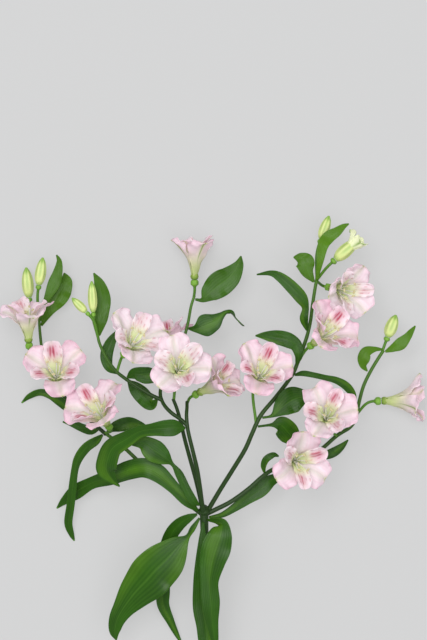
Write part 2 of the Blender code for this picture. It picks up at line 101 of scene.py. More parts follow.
RAYS = {
    "ray_left": [
        (-0.6, -0.8, 34), (-12, 8, 34), (-26, 19, 35), (-39, 30, 35), (-51, 42, 36), (-61, 51, 36),
        (-72, 59, 36),
    ],
    "left_branch": [
        (-70.6, 57.7, 36.1), (-83, 68, 31), (-92, 76, 26), (-101, 83, 19), (-110, 96, 14), (-117, 110, 12),
        (-120, 127, 12), (-121, 142, 13),
    ],
    "ray_centre_left": [
        (-0.2, -1.3, 34.3), (-4, 18, 36), (-9, 37, 41), (-14, 56, 47), (-18, 73, 50), (-22, 84, 52),
    ],
    "ray_centre": [
        (0.3, -1.8, 34.1), (-2, 13, 46), (-4, 30, 54), (-8, 48, 59), (-12, 66, 60), (-12, 76, 58),
        (-12, 82, 54),
    ],
    "centre_branch": [
        (-11.6, 65.3, 59.8), (-18, 71, 60), (-25, 76, 59), (-30, 83, 55), (-31, 90, 50), (-29, 97, 42),
        (-24, 108, 32), (-18, 119, 26), (-13, 132, 23), (-10, 148, 22), (-7, 158, 21),
    ],
    "shoot": [
        (-29.5, 83.2, 54.8), (-38, 87, 54), (-48, 93, 52), (-57, 99, 50), (-63, 104, 50), (-69, 112, 50),
        (-74, 122, 50), (-76, 129, 49),
    ],
    "ray_right": [
        (0.7, -1.1, 33.7), (13, 20, 38), (24, 38, 43), (33, 54, 46), (38, 68, 47), (50, 83, 46),
        (63, 100, 42), (68, 111, 40), (72, 122, 38), (76, 134, 35), (78, 147, 32), (80, 160, 30),
        (82, 171, 28),
    ],
    "ray_low_right": [
        (0.9, -0.4, 33.5), (10, 4, 33), (23, 11, 33), (37, 22, 33), (46, 30, 32), (57, 34, 26),
        (70, 36, 18), (85, 45, 15), (99, 57, 15), (109, 64, 17), (112, 74, 18), (115, 88, 19),
        (120, 100, 20), (127, 112, 20), (131, 118, 20),
    ],
}
print(len(RAYS), "rays and branches")

# %% [markdown]
# Next the leaves. Each row is a point of the midrib, x, y and z, then the blade's width there and its roll in
# degrees. Rows run from the foot to the tip, and a leaf has only as many as its bends need.

# %% Midribs of the leaves
LEAVES = {
    "leaf_whorl_long": [
        (-5, 3, 39, 4, 0), (-12, 10, 41, 8, 0), (-22, 20, 42, 9, 10), (-33, 30, 42, 13, 5),
        (-43, 34, 41, 14, 0), (-54, 32, 36, 14, 0), (-68, 26, 24, 12, -10), (-82, 21, 14, 9, 0),
        (-94, 14, 8, 11, 0), (-103, 7, 3, 6, 0), (-109, 1, 0, 1, 0),
    ],
    "leaf_whorl_upper": [
        (-4, 6, 42, 3, 0), (-8, 11, 44, 6, 0), (-13, 20, 45, 6, 0), (-18, 30, 45, 6, 20),
        (-23, 37, 44, 3, 30), (-29, 42, 46, 12, 10), (-36, 47, 47, 16, 0), (-44, 52, 46, 10, 0),
        (-53, 51, 45, 1, 0),
    ],
    "leaf_whorl_broad": [
        (-4, -3, 36, 4, 0), (-8, -10, 37, 4, 0), (-12, -16, 40, 4, 0), (-18, -22, 41, 16, 0),
        (-26, -31, 41, 28, 0), (-35, -40, 40, 32, 0), (-41, -47, 38, 31, 0), (-50, -57, 34, 24, 0),
        (-58, -68, 30, 16, 0), (-63, -77, 27, 12, 0), (-65, -86, 24, 8, 0), (-64, -93, 22, 1, 0),
    ],
    "leaf_whorl_behind": [
        (-6, -1, 34, 3, 0), (-11, -3, 32, 6, 0), (-18, -8, 28, 9, 0), (-24, -16, 24, 10, 0),
        (-28, -28, 20, 10, 0), (-30, -43, 16, 10, 0), (-30, -58, 13, 10, 0), (-30, -69, 10, 9, 0),
        (-25, -81, 7, 6, 0), (-21, -90, 4, 4, 0), (-16, -100, 2, 1, 0),
    ],
    "leaf_whorl_folded": [
        (5, -4, 39, 3, 0), (9, -4, 44, 5, 20), (13, -6, 49, 9, 20), (12, -13, 52, 17, 10),
        (9, -22, 52, 21, 0), (6, -33, 51, 18, 0), (4, -47, 49, 13, 0), (5, -62, 47, 13, 0),
        (6, -76, 44, 9, 0), (8, -91, 40, 5, 0), (9, -104, 37, 1, 0),
    ],
    "leaf_whorl_under": [
        (0, -6, 39, 4, 0), (-1, -22, 39, 7, 0), (-1, -40, 37, 12, 0), (-1, -55, 35, 14, 0),
        (-1, -68, 33, 14, 0), (1, -81, 32, 13, 0), (2, -95, 31, 11, 0), (4, -110, 30, 6, 0),
        (6, -125, 29, 1, 0),
    ],
    "leaf_whorl_right": [
        (6, -3, 34, 3, 0), (13, -1, 30, 4, 0), (22, 4, 28, 6, 0), (32, 11, 26, 9, 0), (41, 17, 25, 11, 0),
        (48, 23, 24, 9, 0), (55, 26, 21, 5, 0), (61, 29, 18, 1, 0),
    ],
    "leaf_centre_draped": [
        (-16, 63, 63, 3, 0), (-20, 64, 65, 11, 0), (-27, 64, 66, 12, -10), (-37, 63, 65, 10, -30),
        (-46, 61, 62, 9, -20), (-56, 55, 58, 12, 0), (-65, 49, 54, 14, 0), (-69, 40, 48, 15, 0),
        (-70, 32, 42, 14, 0), (-66, 25, 37, 6, 0), (-61, 20, 34, 1, 0),
    ],
    "leaf_centre_wide": [
        (-34, 81, 51, 2, 0), (-38, 80, 47, 9, 0), (-44, 86, 44, 12, 0), (-50, 92, 42, 9, 0),
        (-55, 97, 41, 1, 0),
    ],
    "leaf_centre_dark": [
        (-54, 101, 54, 3, 0), (-49, 102, 55, 9, 10), (-41, 101, 55, 12, 10), (-34, 101, 54, 9, 0),
        (-30, 105, 52, 6, 0), (-32, 110, 51, 1, 0),
    ],
    "leaf_shoot_curved": [
        (-64, 100, 46, 2, 0), (-68, 106, 44, 6, 0), (-70, 114, 43, 9, 0), (-68, 122, 42, 8, 0),
        (-64, 129, 41, 5, 0), (-58, 135, 40, 1, 0),
    ],
    "leaf_shoot_pod": [
        (-77, 132, 45, 2, 0), (-75, 138, 44, 10, 0), (-74, 146, 43, 12, 0), (-73, 156, 43, 12, 0),
        (-75, 166, 44, 8, 0), (-79, 174, 45, 1, 0),
    ],
    "leaf_left_hanging": [
        (-74, 56, 34, 3, 0), (-78, 53, 33, 6, 0), (-85, 48, 31, 7, 10), (-91, 40, 27, 7, 20),
        (-94, 31, 23, 6, 20), (-96, 18, 18, 6, 10), (-98, 4, 12, 6, 0), (-100, -9, 6, 6, 0),
        (-98, -18, 2, 4, 0), (-96, -23, 0, 1, 0),
    ],
    "leaf_left_behind": [
        (-69, 61, 34, 3, 0), (-64, 63, 31, 8, 0), (-55, 65, 29, 10, 0), (-47, 64, 27, 6, 0),
        (-39, 61, 26, 1, 0),
    ],
    "leaf_left_lower": [
        (-77, 60, 32, 2, 0), (-82, 60, 28, 6, 0), (-89, 62, 25, 6, 0), (-96, 65, 23, 5, 0),
        (-103, 66, 22, 1, 0),
    ],
    "leaf_left_outer": [
        (-95, 75, 21, 2, 0), (-99, 76, 17, 6, 0), (-105, 80, 12, 7, 0), (-113, 85, 8, 6, 0),
        (-121, 87, 6, 5, 0), (-129, 84, 2, 4, 0), (-135, 79, 0, 1, 0),
    ],
    "leaf_left_broad": [
        (-118, 136, 11, 2, 0), (-114, 147, 9, 8, 0), (-109, 156, 9, 16, 0), (-105, 163, 8, 16, 0),
        (-102, 169, 7, 10, 0), (-103, 175, 6, 1, 0),
    ],
    "leaf_left_top": [
        (-119, 139, 17, 2, 0), (-115.5, 154, 18, 4, 0), (-110, 166, 18, 9, 0), (-107, 175, 17, 7, 0),
        (-106, 183, 16, 4, 0), (-108, 188, 15, 1, 0),
    ],
    "leaf_top_broad": [
        (-5, 155, 22, 2, 0), (-1, 155, 23, 4, 0), (4, 160, 24, 14, 0), (11, 166, 24, 19, 0),
        (19, 172, 23, 16, 0), (25, 180, 22, 8, 0), (27, 187, 21, 1, 0),
    ],
    "leaf_top_twisted": [
        (-10, 134, 25, 2, 0), (-6, 134, 27, 6, 0), (0, 136, 28, 16, 0), (7, 139, 28, 13, 0),
        (12, 143, 28, 6, 0), (16, 146, 27, 3, 0), (20, 146, 25, 4, 50), (23, 142, 20, 5, 90),
        (26, 139, 15, 5, 80), (29, 136, 11, 2, 60),
    ],
    "leaf_right_arched": [
        (66, 109, 44, 3, 0), (68, 115, 47, 6, 0), (66, 122, 47, 9, 0), (60, 126, 47, 11, 0),
        (52, 128, 46, 10, 0), (44, 129, 45, 6, 0), (37, 129, 44, 1, 0),
    ],
    "leaf_right_long": [
        (74, 133, 38, 2, 0), (72, 141, 41, 6, 0), (73, 149, 42, 5, 0), (70, 156, 43, 9, 0),
        (63, 164, 43, 9, 0), (55, 171, 42, 7, 0), (48, 174, 41, 4, 0), (38, 173, 40, 1, 0),
    ],
    "leaf_right_back": [
        (78, 168, 29, 2, 0), (75, 175, 30, 9, 0), (73, 182, 30, 14, 0), (70, 185, 29, 9, 0),
        (65, 186, 28, 1, 0),
    ],
    "leaf_right_top": [
        (82, 169, 31, 2, 0), (84, 183, 35, 5, 0), (86, 194, 34, 8, 0), (90, 200, 32, 9, 0),
        (96, 204, 32, 7, 0), (101, 208, 31, 4, 0), (105, 210, 30, 1, 0),
    ],
    "leaf_right_narrow": [
        (66, 101, 44, 3, 0), (71, 102, 46, 4, 0), (78, 101, 47, 4, 0), (87, 99, 47, 4, 0),
        (95, 97, 46, 5, 0), (102, 93, 44, 6, 0), (107, 87, 40, 5, 0), (109, 80, 35, 2, 0),
    ],
    "leaf_right_dark": [
        (42, 70, 49, 2, 0), (49, 72, 50, 3, 0), (56, 78, 50, 14, 0), (63, 83, 49, 19, 0),
        (70, 85, 48, 13, 0), (78, 85, 47, 1, 0),
    ],
    "leaf_right_lower": [
        (41, 63, 44, 2, 0), (49, 65, 43, 3, 0), (55, 65, 42, 13, 0), (60, 60, 40, 16, 0),
        (64, 55, 38, 12, 0), (68, 49, 36, 1, 0),
    ],
    "leaf_right_small": [
        (43, 31, 34, 2, 0), (43, 35, 36, 4, 0), (45, 40, 38, 5, 0), (50, 43, 38, 4, 0), (54, 42, 37, 1, 0),
    ],
    "leaf_right_under": [
        (84, 42, 12, 2, 0), (89, 41, 10, 6, 0), (95, 43, 9, 7, 0), (101, 47, 8, 5, 0), (106, 52, 7, 1, 0),
    ],
    "leaf_end_up": [
        (134, 118, 21, 2, 0), (138, 120, 23, 6, 0), (143, 123, 24, 9, 0), (148, 128, 24, 6, 0),
        (151, 132, 23, 4, 0), (154, 136, 22, 1, 0),
    ],
    "leaf_end_down": [
        (129, 120, 21, 2, 0), (124, 119, 24, 4, 0), (118, 117, 26, 8, 0), (116, 112, 26, 9, 0),
        (116, 107, 24, 5, 0), (119, 103, 22, 1, 0),
    ],
}
print(len(LEAVES), "leaves")

# %% [markdown]
# Then the flowers. Each row gives the base of the flower, its axis, its turn about the axis in degrees, how
# far it is open from 0 to 1, and the ray and the point on it where its stalk starts.

# %% Places of the flowers
BLOOMS = {
    "bloom_left_outer": ((-127, 124, 30), (-0.08, 0.97, 0.25), 20, 0.76, "left_branch", 5),
    "bloom_left_upper": ((-107, 94, 24), (0.00, 0.52, 0.85), 10, 1.00, "left_branch", 4),
    "bloom_left_lower": ((-69, 65, 46), (-0.37, 0.60, 0.70), 0, 1.00, "ray_left", 6),
    "bloom_shoot": ((-56, 117, 54), (0.40, 0.50, 0.77), 25, 1.00, "shoot", 4),
    "bloom_back": ((-24, 108, 12), (-0.15, 0.97, 0.10), 0, 0.60, "centre_branch", 5),
    "bloom_centre": ((-19, 102, 62), (0.10, 0.30, 0.95), 15, 0.92, "ray_centre_left", 5),
    "bloom_centre_side": ((-4, 88, 50), (0.75, 0.40, 0.50), 40, 0.60, "ray_centre", 6),
    "bloom_top": ((-7, 170, 14), (-0.02, 0.99, 0.10), 30, 0.50, "centre_branch", 10),
    "bloom_right_inner": ((37, 95, 56), (0.20, 0.50, 0.84), 0, 0.88, "ray_right", 4),
    "bloom_right_middle": ((78, 123, 45), (0.55, 0.48, 0.68), 10, 0.95, "ray_right", 7),
    "bloom_right_upper": ((92, 164, 22), (0.55, -0.12, 0.82), 20, 0.80, "ray_right", 12),
    "bloom_right_lower": ((87, 67, 46), (0.03, 0.33, 0.94), 30, 0.84, "ray_low_right", 8),
    "bloom_right_bottom": ((62, 40, 36), (0.34, -0.05, 0.94), 0, 0.92, "ray_low_right", 5),
    "bloom_end": ((130, 81, 13), (0.99, 0.05, 0.08), 30, 0.66, "ray_low_right", 10),
}
print(len(BLOOMS), "flowers")

# %% [markdown]
# Last the buds: base, tip, widest diameter, and the ray and point where the stalk starts.

# %% Places of the buds
BUDS = {
    "bud_left_outer": ((-129, 157, 6), (-131, 179, 7), 8.5, "left_branch", 7),
    "bud_left_inner": ((-121, 166, 15), (-118, 186, 16), 8.0, "left_branch", 7),
    "bud_in_leaf": ((-79, 146, 52), (-80, 168, 54), 6.5, "shoot", 7),
    "bud_withered": ((-84, 146, 53), (-94, 156, 54), 6.0, "shoot", 7),
    "bud_right_top": ((85, 199, 25), (91, 216, 25), 7.5, "ray_right", 12),
    "bud_right_open": ((95, 184, 34), (112, 199, 36), 10.0, "ray_right", 12),
    "bud_end": ((134, 128, 20), (140, 144, 21), 9.0, "ray_low_right", 14),
}
print(len(BUDS), "buds")

# %% [markdown]
# ## Smooth lines through a few points
#
# A stalk or a midrib never has a corner. A curve object would smooth the points too, but its handles would
# have to be set one by one. A cubic between each two rows needs no handles: the line passes through every
# row, and each stretch takes its slope from the rows on both sides. It smooths widths and rolls in the same
# go, as further columns.


# %% A smooth line through a table
def smooth_rows(points, count):
    """Cubics through the rows of a table, at count evenly spaced parameters.

    Between rows b and c, with a before and d after them, it is half of
    2b + (c - a) t + (2a - 5b + 4c - d) t squared + (3b - a - 3c + d) t cubed.
    """
    rows = np.array(points, float)
    rows = np.vstack([2 * rows[0] - rows[1], rows, 2 * rows[-1] - rows[-2]])
    at = np.linspace(0, len(points) - 1, count)
    index = np.minimum(at.astype(int), len(points) - 2)
    t = (at - index)[:, None]
    a, b, c, d = (rows[index + k] for k in range(4))
    return 0.5 * (2 * b + (c - a) * t + (2 * a - 5 * b + 4 * c - d) * t**2 + (3 * b - a - 3 * c + d) * t**3)


print("a line through", len(RAYS["ray_left"]), "points becomes", len(smooth_rows(RAYS["ray_left"], 90)))

# %% [markdown]
# ## From a sheet to a closed blade
#
# A real leaf has a thickness, and so does a petal. Solidify would give a plane its second face, but here the
# edge should also grow thinner. So the sheet's normal is worked out on the grid, the two faces are set off
# along it, and a rim joins them. Nothing may go under the table, so low points stop just above it.

# %% A closed blade from a sheet
LOWEST_UPPER = 0.7
LOWEST_LOWER = 0.1
EDGE_THINNING = 0.55


def sheet_quads(rows, cols):
    """Quads of the upper face, the lower face and the rim between them."""
    total = rows * cols
    i, j = np.meshgrid(np.arange(rows - 1), np.arange(cols - 1), indexing="ij")
    a = (i * cols + j).ravel()
    upper = np.stack([a, a + cols, a + cols + 1, a + 1], axis=1)
    lower = upper[:, ::-1] + total
    foot, right = np.arange(cols), np.arange(1, rows) * cols + cols - 1
    tip, left = (rows - 1) * cols + np.arange(cols - 2, -1, -1), np.arange(rows - 2, 0, -1) * cols
    rim = np.concatenate([foot, right, tip, left])
    ahead = np.roll(rim, -1)
    edge = np.stack([rim, ahead, ahead + total, rim + total], axis=1)
    return np.vstack([upper, lower, edge])


def blade(grid, thickness):
    """Upper and lower face: the sheet plus and minus half its thickness along its normal."""
    normal = np.cross(np.gradient(grid, axis=0), np.gradient(grid, axis=1))
    normal /= np.maximum(np.linalg.norm(normal, axis=2, keepdims=True), 1e-9)
    v = np.linspace(-1, 1, grid.shape[1])[None, :, None]
    half = thickness * (1 - EDGE_THINNING * v**4) / 2
    upper, lower = grid + normal * half, grid - normal * half
    upper[:, :, 2] = np.maximum(upper[:, :, 2], LOWEST_UPPER)
    lower[:, :, 2] = np.maximum(lower[:, :, 2], LOWEST_LOWER)
    return np.vstack([upper.reshape(-1, 3), lower.reshape(-1, 3)])


def grid_of(rows, cols):
    """u from 0 at the foot to 1 at the tip, and v from -1 to 1 across, for every point of a grid."""
    return np.meshgrid(np.linspace(0, 1, rows), np.linspace(-1, 1, cols), indexing="ij")


def blade_part(grid, thickness, upper_tint, lower_tint):
    """A blade with a tint for each point, and its own map: v across and u along."""
    rows, cols = grid.shape[:2]
    u, v = grid_of(rows, cols)
    return {
        "points": blade(grid, thickness),
        "quads": sheet_quads(rows, cols),
        "caps": [],
        "tints": np.vstack([upper_tint.reshape(-1, 3), lower_tint.reshape(-1, 3)]),
        "uv": np.column_stack([np.tile(0.5 + v.ravel() / 2, 2), np.tile(u.ravel(), 2)]),
    }


print("a blade of 14 by 21 points has", len(sheet_quads(14, 21)), "quads")

# %% [markdown]
# ## A tube with ribs
#
# Stalks, ovaries, stamens and buds are all round things that change their thickness as they go. A bevelled
# curve object would make the plain ones, but it can't make ribs. Here a ring is carried along the path, its
# radius waves round the ring where there are ribs, and each end is closed with one cap.


# %% A tube from rings
def unit(vector):
    """The vector over its own length."""
    return vector / max(np.linalg.norm(vector), 1e-9)


def carried_sides(tangent):
    """A direction across the path for every ring, turned as little as possible from one ring to the next."""
    helper = np.array([0.0, 0.0, 1.0]) if abs(tangent[0][2]) < 0.8 else np.array([1.0, 0.0, 0.0])
    side, sides = unit(np.cross(helper, tangent[0])), []
    for direction in tangent:
        side = unit(side - direction * np.dot(side, direction))
        sides.append(side)
    return np.array(sides)


def tube(path, radii, sides, ribs, depth):
    """path(u) + wide(u, a) * (side(u) * cos(a) + other(u) * sin(a)), where the angle a goes once round.

    wide is radius(u) * (1 + depth(u) * cos(ribs * a)), so that depth 0 gives a plain round tube.
    """
    tangent = np.gradient(path, axis=0)
    tangent /= np.linalg.norm(tangent, axis=1, keepdims=True)
    side = carried_sides(tangent)
    other = np.cross(tangent, side)
    angles = np.arange(sides) * 2 * math.pi / sides
    wide = radii[:, None] * (1 + np.broadcast_to(depth, radii.shape)[:, None] * np.cos(ribs * angles))
    cos, sin = np.cos(angles)[None, :, None], np.sin(angles)[None, :, None]
    return path[:, None] + wide[..., None] * (cos * side[:, None] + sin * other[:, None])


def tube_part(path, radii, sides, tints, ribs=0, depth=0.0):
    """A closed tube; tints has one colour, or one for each ring, or one for each point."""
    path, radii = np.array(path, float), np.array(radii, float)
    rings = len(path)
    i, j = np.meshgrid(np.arange(rings - 1), np.arange(sides), indexing="ij")
    a, b = (i * sides + j).ravel(), (i * sides + (j + 1) % sides).ravel()
    start, end = np.arange(sides - 1, -1, -1), (rings - 1) * sides + np.arange(sides)
    turn, along = np.tile(np.arange(sides) / sides, rings), np.repeat(np.arange(rings) / rings, sides)
    tints = np.atleast_2d(tints)
    return {
        "points": tube(path, radii, sides, ribs, depth).reshape(-1, 3),
        "quads": np.stack([a, b, b + sides, a + sides], axis=1),
        "caps": [start, end],
        "tints": np.repeat(tints, rings * sides // len(tints), axis=0),
        "uv": np.column_stack([turn, along]),
    }


upright = np.column_stack([np.zeros(5), np.zeros(5), np.arange(5.0)])
post = tube_part(upright, np.ones(5), 8, np.ones(3))
print("a tube of 5 rings of 8 points has", len(post["quads"]), "quads and", len(post["caps"]), "caps")

# %% [markdown]
# ## One object for each piece
#
# A flower is one piece of the plant, so all its petals and stamens go into one mesh. They could be made as
# objects and joined, but that is slow. Instead the parts' arrays are put one after the other and fill the
# mesh at once. Each object stays at the origin with its place in its mesh, rides on the plant's one body, and
# stands for the solid of the same name.


# %% Arrays into a mesh
def filled_mesh(name, points, corners, sides):
    """A mesh from its points, the corners of all its faces in a row, and how many each face has."""
    mesh = bpy.data.meshes.new(name)
    mesh.vertices.add(len(points))
    mesh.vertices.foreach_set("co", points.astype(np.float32).ravel())
    mesh.loops.add(len(corners))
    mesh.loops.foreach_set("vertex_index", corners)
    mesh.polygons.add(len(sides))
    mesh.polygons.foreach_set("loop_start", (np.cumsum(sides) - sides).astype(np.int32))
    mesh.polygons.foreach_set("use_smooth", np.ones(len(sides), bool))
    mesh.update(calc_edges=True)
    return mesh


def make_piece(node, finish, parts):
    """The fine piece for one node of the solid model; it gives back its number of faces."""
    starts = np.cumsum([0] + [len(part["points"]) for part in parts])
    quads = np.vstack([part["quads"] + start for part, start in zip(parts, starts)])
    caps = [cap + start for part, start in zip(parts, starts) for cap in part["caps"]]
    corners = np.concatenate([quads.ravel(), *caps]).astype(np.int32)
    sides = np.array([4] * len(quads) + [len(cap) for cap in caps], np.int32)
    points = (np.vstack([part["points"] for part in parts]) + WHORL) * MM
    mesh = filled_mesh("fine_" + node, points, corners, sides)
    tints = np.column_stack([np.vstack([part["tints"] for part in parts]), np.ones(len(points))])
    attribute = mesh.color_attributes.new("Tint", "FLOAT_COLOR", "POINT")
    attribute.data.foreach_set("color", tints.astype(np.float32).ravel())
    uv = np.vstack([part["uv"] for part in parts])[corners]
    mesh.uv_layers.new(name="UVMap").data.foreach_set("uv", uv.astype(np.float32).ravel())
    obj = bpy.data.objects.new("fine_" + node, mesh)
    bpy.context.collection.objects.link(obj)
    mesh.materials.append(finish)
    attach(obj, "root")
    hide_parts(node)
    return len(sides)


print("solids that fine pieces stand for:", len(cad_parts))

# %% [markdown]
# ## Colours
#
# The colours of a plant run into each other: a petal is lime at its foot, white in the middle and pink at its
# edge. Masks could mix them in the material, but they are simpler to follow as numbers on the grid, one
# colour for each point. The eye judges colours on a screen and light adds up in another scale, so each colour
# is written as a screen shows it and turned into light at once.


# %% Colours as light
def screen(red, green, blue):
    """A screen colour, 0 to 255, as linear light."""
    c = np.array((red, green, blue), float) / 255
    return np.where(c <= 0.04045, c / 12.92, ((c + 0.055) / 1.055) ** 2.4)


def mix(a, b, amount):
    """a where amount is 0, b where it is 1."""
    amount = np.clip(amount, 0, 1)[..., None]
    return a * (1 - amount) + b * amount


PALE, BLUSH, ROSE = screen(250, 247, 249), screen(247, 226, 236), screen(230, 160, 188)
LIME, THROAT, STREAK = screen(196, 216, 112), screen(240, 248, 208), screen(188, 30, 74)
# The deeper leaf green is painted shade for patches on a leaf's top, and the young green also serves as
# painted highlight there.
LEAF_TOP, LEAF_PAINTED_SHADE = screen(40, 86, 4), screen(20, 54, 2)
LEAF_UNDER, LEAF_YOUNG_AND_HIGHLIGHT = screen(88, 134, 42), screen(92, 136, 22)
STALK, STALK_YOUNG, OVARY = screen(30, 54, 16), screen(74, 116, 32), screen(108, 152, 52)
BUD_PALE, BUD_GREEN = screen(214, 222, 146), screen(126, 166, 62)
ANTHER = screen(228, 220, 182)
print("a leaf's green as light:", LEAF_TOP.round(4))

# %% [markdown]
# ## Plant skin
#
# Every skin here is the same kind of thing: a thin layer with its colour inside, faint mottling, and fine
# furrows that run along the piece. Both could be painted, but noise needs no picture. One noise, in the
# plant's own space, is multiplied into the tint. The other is drawn out along the piece's map and becomes a
# bump: the furrows.

# %% Mottling and furrows as nodes
MOTTLE_SCALE = 140.0
MOTTLE_RANGE = (0.86, 1.12)
FURROW_HEIGHT = 0.0006


def add_node(tree, kind, **sockets):
    """A node of this kind; an underscore in a socket's name stands for a space."""
    node = tree.nodes.new(kind)
    for name, value in sockets.items():
        node.inputs[name.replace("_", " ")].default_value = value
    return node


def mottled_tint(tree, where):
    """The Tint attribute times a faint noise on Object coordinates."""
    tint = tree.nodes.new("ShaderNodeAttribute")
    tint.attribute_name = "Tint"
    mottle = add_node(tree, "ShaderNodeTexNoise", Scale=MOTTLE_SCALE)
    shade = add_node(tree, "ShaderNodeMapRange", To_Min=MOTTLE_RANGE[0], To_Max=MOTTLE_RANGE[1])
    times = tree.nodes.new("ShaderNodeVectorMath")
    times.operation = "SCALE"
    tree.links.new(where.outputs["Object"], mottle.inputs["Vector"])
    tree.links.new(mottle.outputs["Fac"], shade.inputs["Value"])
    tree.links.new(tint.outputs["Color"], times.inputs[0])
    tree.links.new(shade.outputs["Result"], times.inputs["Scale"])
    return times.outputs["Vector"]


def furrows(tree, where, across, along, strength):
    """A bump from noise that is drawn out along the piece: many furrows across it, few changes along it."""
    stretch = add_node(tree, "ShaderNodeMapping", Scale=(across, along, 1.0))
    noise = add_node(tree, "ShaderNodeTexNoise", Scale=1.0)
    relief = add_node(tree, "ShaderNodeBump", Strength=strength, Distance=FURROW_HEIGHT)
    tree.links.new(where.outputs["UV"], stretch.inputs["Vector"])
    tree.links.new(stretch.outputs["Vector"], noise.inputs["Vector"])
    tree.links.new(noise.outputs["Fac"], relief.inputs["Height"])
    return relief.outputs["Normal"]


print("mottling from", MOTTLE_RANGE[0], "to", MOTTLE_RANGE[1], "of the tint")

# %% [markdown]
# ## Four skins
#
# Petals are so thin that light comes through them, leaves let a little through, and stalks none. Subsurface
# scattering is meant for thick flesh, and is slow. On sheets half a millimetre thick, a translucent shader
# mixed with the main one looks alike and costs less. Only the numbers differ from one skin to the next: a
# leaf is smoother than a petal, and a bud has a thin coat of wax.

# %% A skin from its numbers
COAT_ROUGHNESS = 0.25


def plant_skin(name, rough, gloss, across, along, strength, through=0.0, coat=0.0):
    """Tint and furrows on a Principled shader, mixed with light from behind by the share through."""
    skin = bpy.data.materials.new(name)
    skin.use_nodes = True
    tree = skin.node_tree
    shader = tree.nodes["Principled BSDF"]
    where = tree.nodes.new("ShaderNodeTexCoord")
    colour = mottled_tint(tree, where)
    tree.links.new(colour, shader.inputs["Base Color"])
    tree.links.new(furrows(tree, where, across, along, strength), shader.inputs["Normal"])
    shader.inputs["Roughness"].default_value = rough
    shader.inputs["Specular IOR Level"].default_value = gloss
    shader.inputs["Coat Weight"].default_value = coat
    shader.inputs["Coat Roughness"].default_value = COAT_ROUGHNESS
    if through:
        glow = tree.nodes.new("ShaderNodeBsdfTranslucent")
        blend = add_node(tree, "ShaderNodeMixShader", Fac=through)
        tree.links.new(colour, glow.inputs["Color"])
        tree.links.new(shader.outputs["BSDF"], blend.inputs[1])
        tree.links.new(glow.outputs["BSDF"], blend.inputs[2])
        tree.links.new(blend.outputs["Shader"], tree.nodes["Material Output"].inputs["Surface"])
    return skin


petal_skin = plant_skin("petal_skin", 0.5, 0.3, 34.0, 2.0, 0.3, through=0.5)
leaf_skin = plant_skin("leaf_skin", 0.32, 0.2, 26.0, 0.8, 0.5, through=0.1)
stalk_skin = plant_skin("stalk_skin", 0.45, 0.22, 12.0, 1.0, 0.3)
bud_skin = plant_skin("bud_skin", 0.45, 0.5, 18.0, 1.5, 0.25, through=0.1, coat=0.05)
print("skins:", ", ".join(skin.name for skin in (petal_skin, leaf_skin, stalk_skin, bud_skin)))

# %% [markdown]
# ## Main stem and rays
#
# The main stem is 6 mm thick and swells a little at the whorl. The rays start there at a little over half
# that thickness and taper, and towards the flowers their green grows younger. Edge by edge modelling would
# take long for round things like these. Each is one tube from its table.

# %% Lines and tubes of the stem
STEM_R = 2.9
RAY_R = 1.5
STEM_BENDS = [
    CUT_END, (5, -240, 6), (3, -170, 14), (2, -100, 23), (1, -40, 31), (0.1, -1.4, 34), (0.2, 2.3, 35.3),
]
STEM_TOP = (0.25, 4.4, 36.1)
SWELLING = [3.3, 4.1, 2.9]
RAY_TAPER = (1.15, 0.8)
BRANCH_SHARE = 0.85
STEM_RINGS, STEM_SIDES = 120, 24
RAY_RINGS, RAY_SIDES = 90, 14
LOWEST_STEM = 0.05


def main_stem_line():
    """Points and radii from the cut end to the swelling at the whorl, which takes the last three points."""
    line = np.vstack([smooth_rows(STEM_BENDS, len(STEM_BENDS) + 2), [STEM_TOP]])
    return line, [STEM_R] * (len(line) - len(SWELLING)) + SWELLING


def ray_line(name):
    """Points and radii of a ray; branches are a little thinner than the rays that they leave."""
    line = smooth_rows(RAYS[name], len(RAYS[name]) + 2)
    thin = 1.0 if name.startswith("ray") else BRANCH_SHARE
    return line, np.linspace(RAY_R * thin * RAY_TAPER[0], RAY_R * thin * RAY_TAPER[1], len(line))


def fine_line(line, radii, count):
    """The line with its radius as a fourth column, smoothed together."""
    return smooth_rows(np.column_stack([line, radii]), count)


def main_stem_part():
    """The main stem's tube, kept off the table at its cut end."""
    fine = fine_line(*main_stem_line(), STEM_RINGS)
    part = tube_part(fine[:, :3], fine[:, 3], STEM_SIDES, STALK)
    part["points"][:, 2] = np.maximum(part["points"][:, 2], LOWEST_STEM)
    return part


def ray_part(name):
    """A ray's tube. The young green grows with the square of the way along; the two middle rays stay dark."""
    fine = fine_line(*ray_line(name), RAY_RINGS)
    young = np.linspace(0, 0.0 if name.startswith("ray_c") else 0.9, RAY_RINGS) ** 2
    return tube_part(fine[:, :3], fine[:, 3], RAY_SIDES, mix(STALK, STALK_YOUNG, young))


stem_parts = [main_stem_part()] + [ray_part(name) for name in RAYS]
print("main stem and", len(stem_parts) - 1, "rays and branches")

# %% [markdown]
# ## Flower stalks and ovaries
#
# Each flower hangs on a thin stalk that bends to face it, and just below the petals the stalk swells into an
# ovary with six ribs. The stalk is a cubic curve: it leaves the ray towards the flower and arrives along the
# flower's axis. It starts a little back along its ray, each by another distance, so that no two stalks meet
# in one point.

# %% Stalks, ovaries and the stem's piece
SEAT_GAP = 0.3
PEDICEL_R = 1.05
STALK_RINGS, OVARY_RINGS, STALK_SIDES = 18, 15, 24
FLOWER_OVARY = (5.5, 2.7)
BUD_OVARY_LENGTH = 3.5
BUD_OVARY_SHARE = 0.24
RIBS, RIB_DEPTH = 6, 0.1
FLOWER_BACK, FLOWER_BACK_STEP = 0.6, 0.17
BUD_BACK, BUD_BACK_STEP = 0.8, 0.23
FIRST_PULL, LAST_PULL, SAG = 0.3, 0.4, 0.05
NECKING = 0.22


def step(x, low, high):
    """0 up to low and 1 from high on, with a soft start and end between them."""
    t = np.clip((x - low) / (high - low), 0, 1)
    return t * t * (3 - 2 * t)


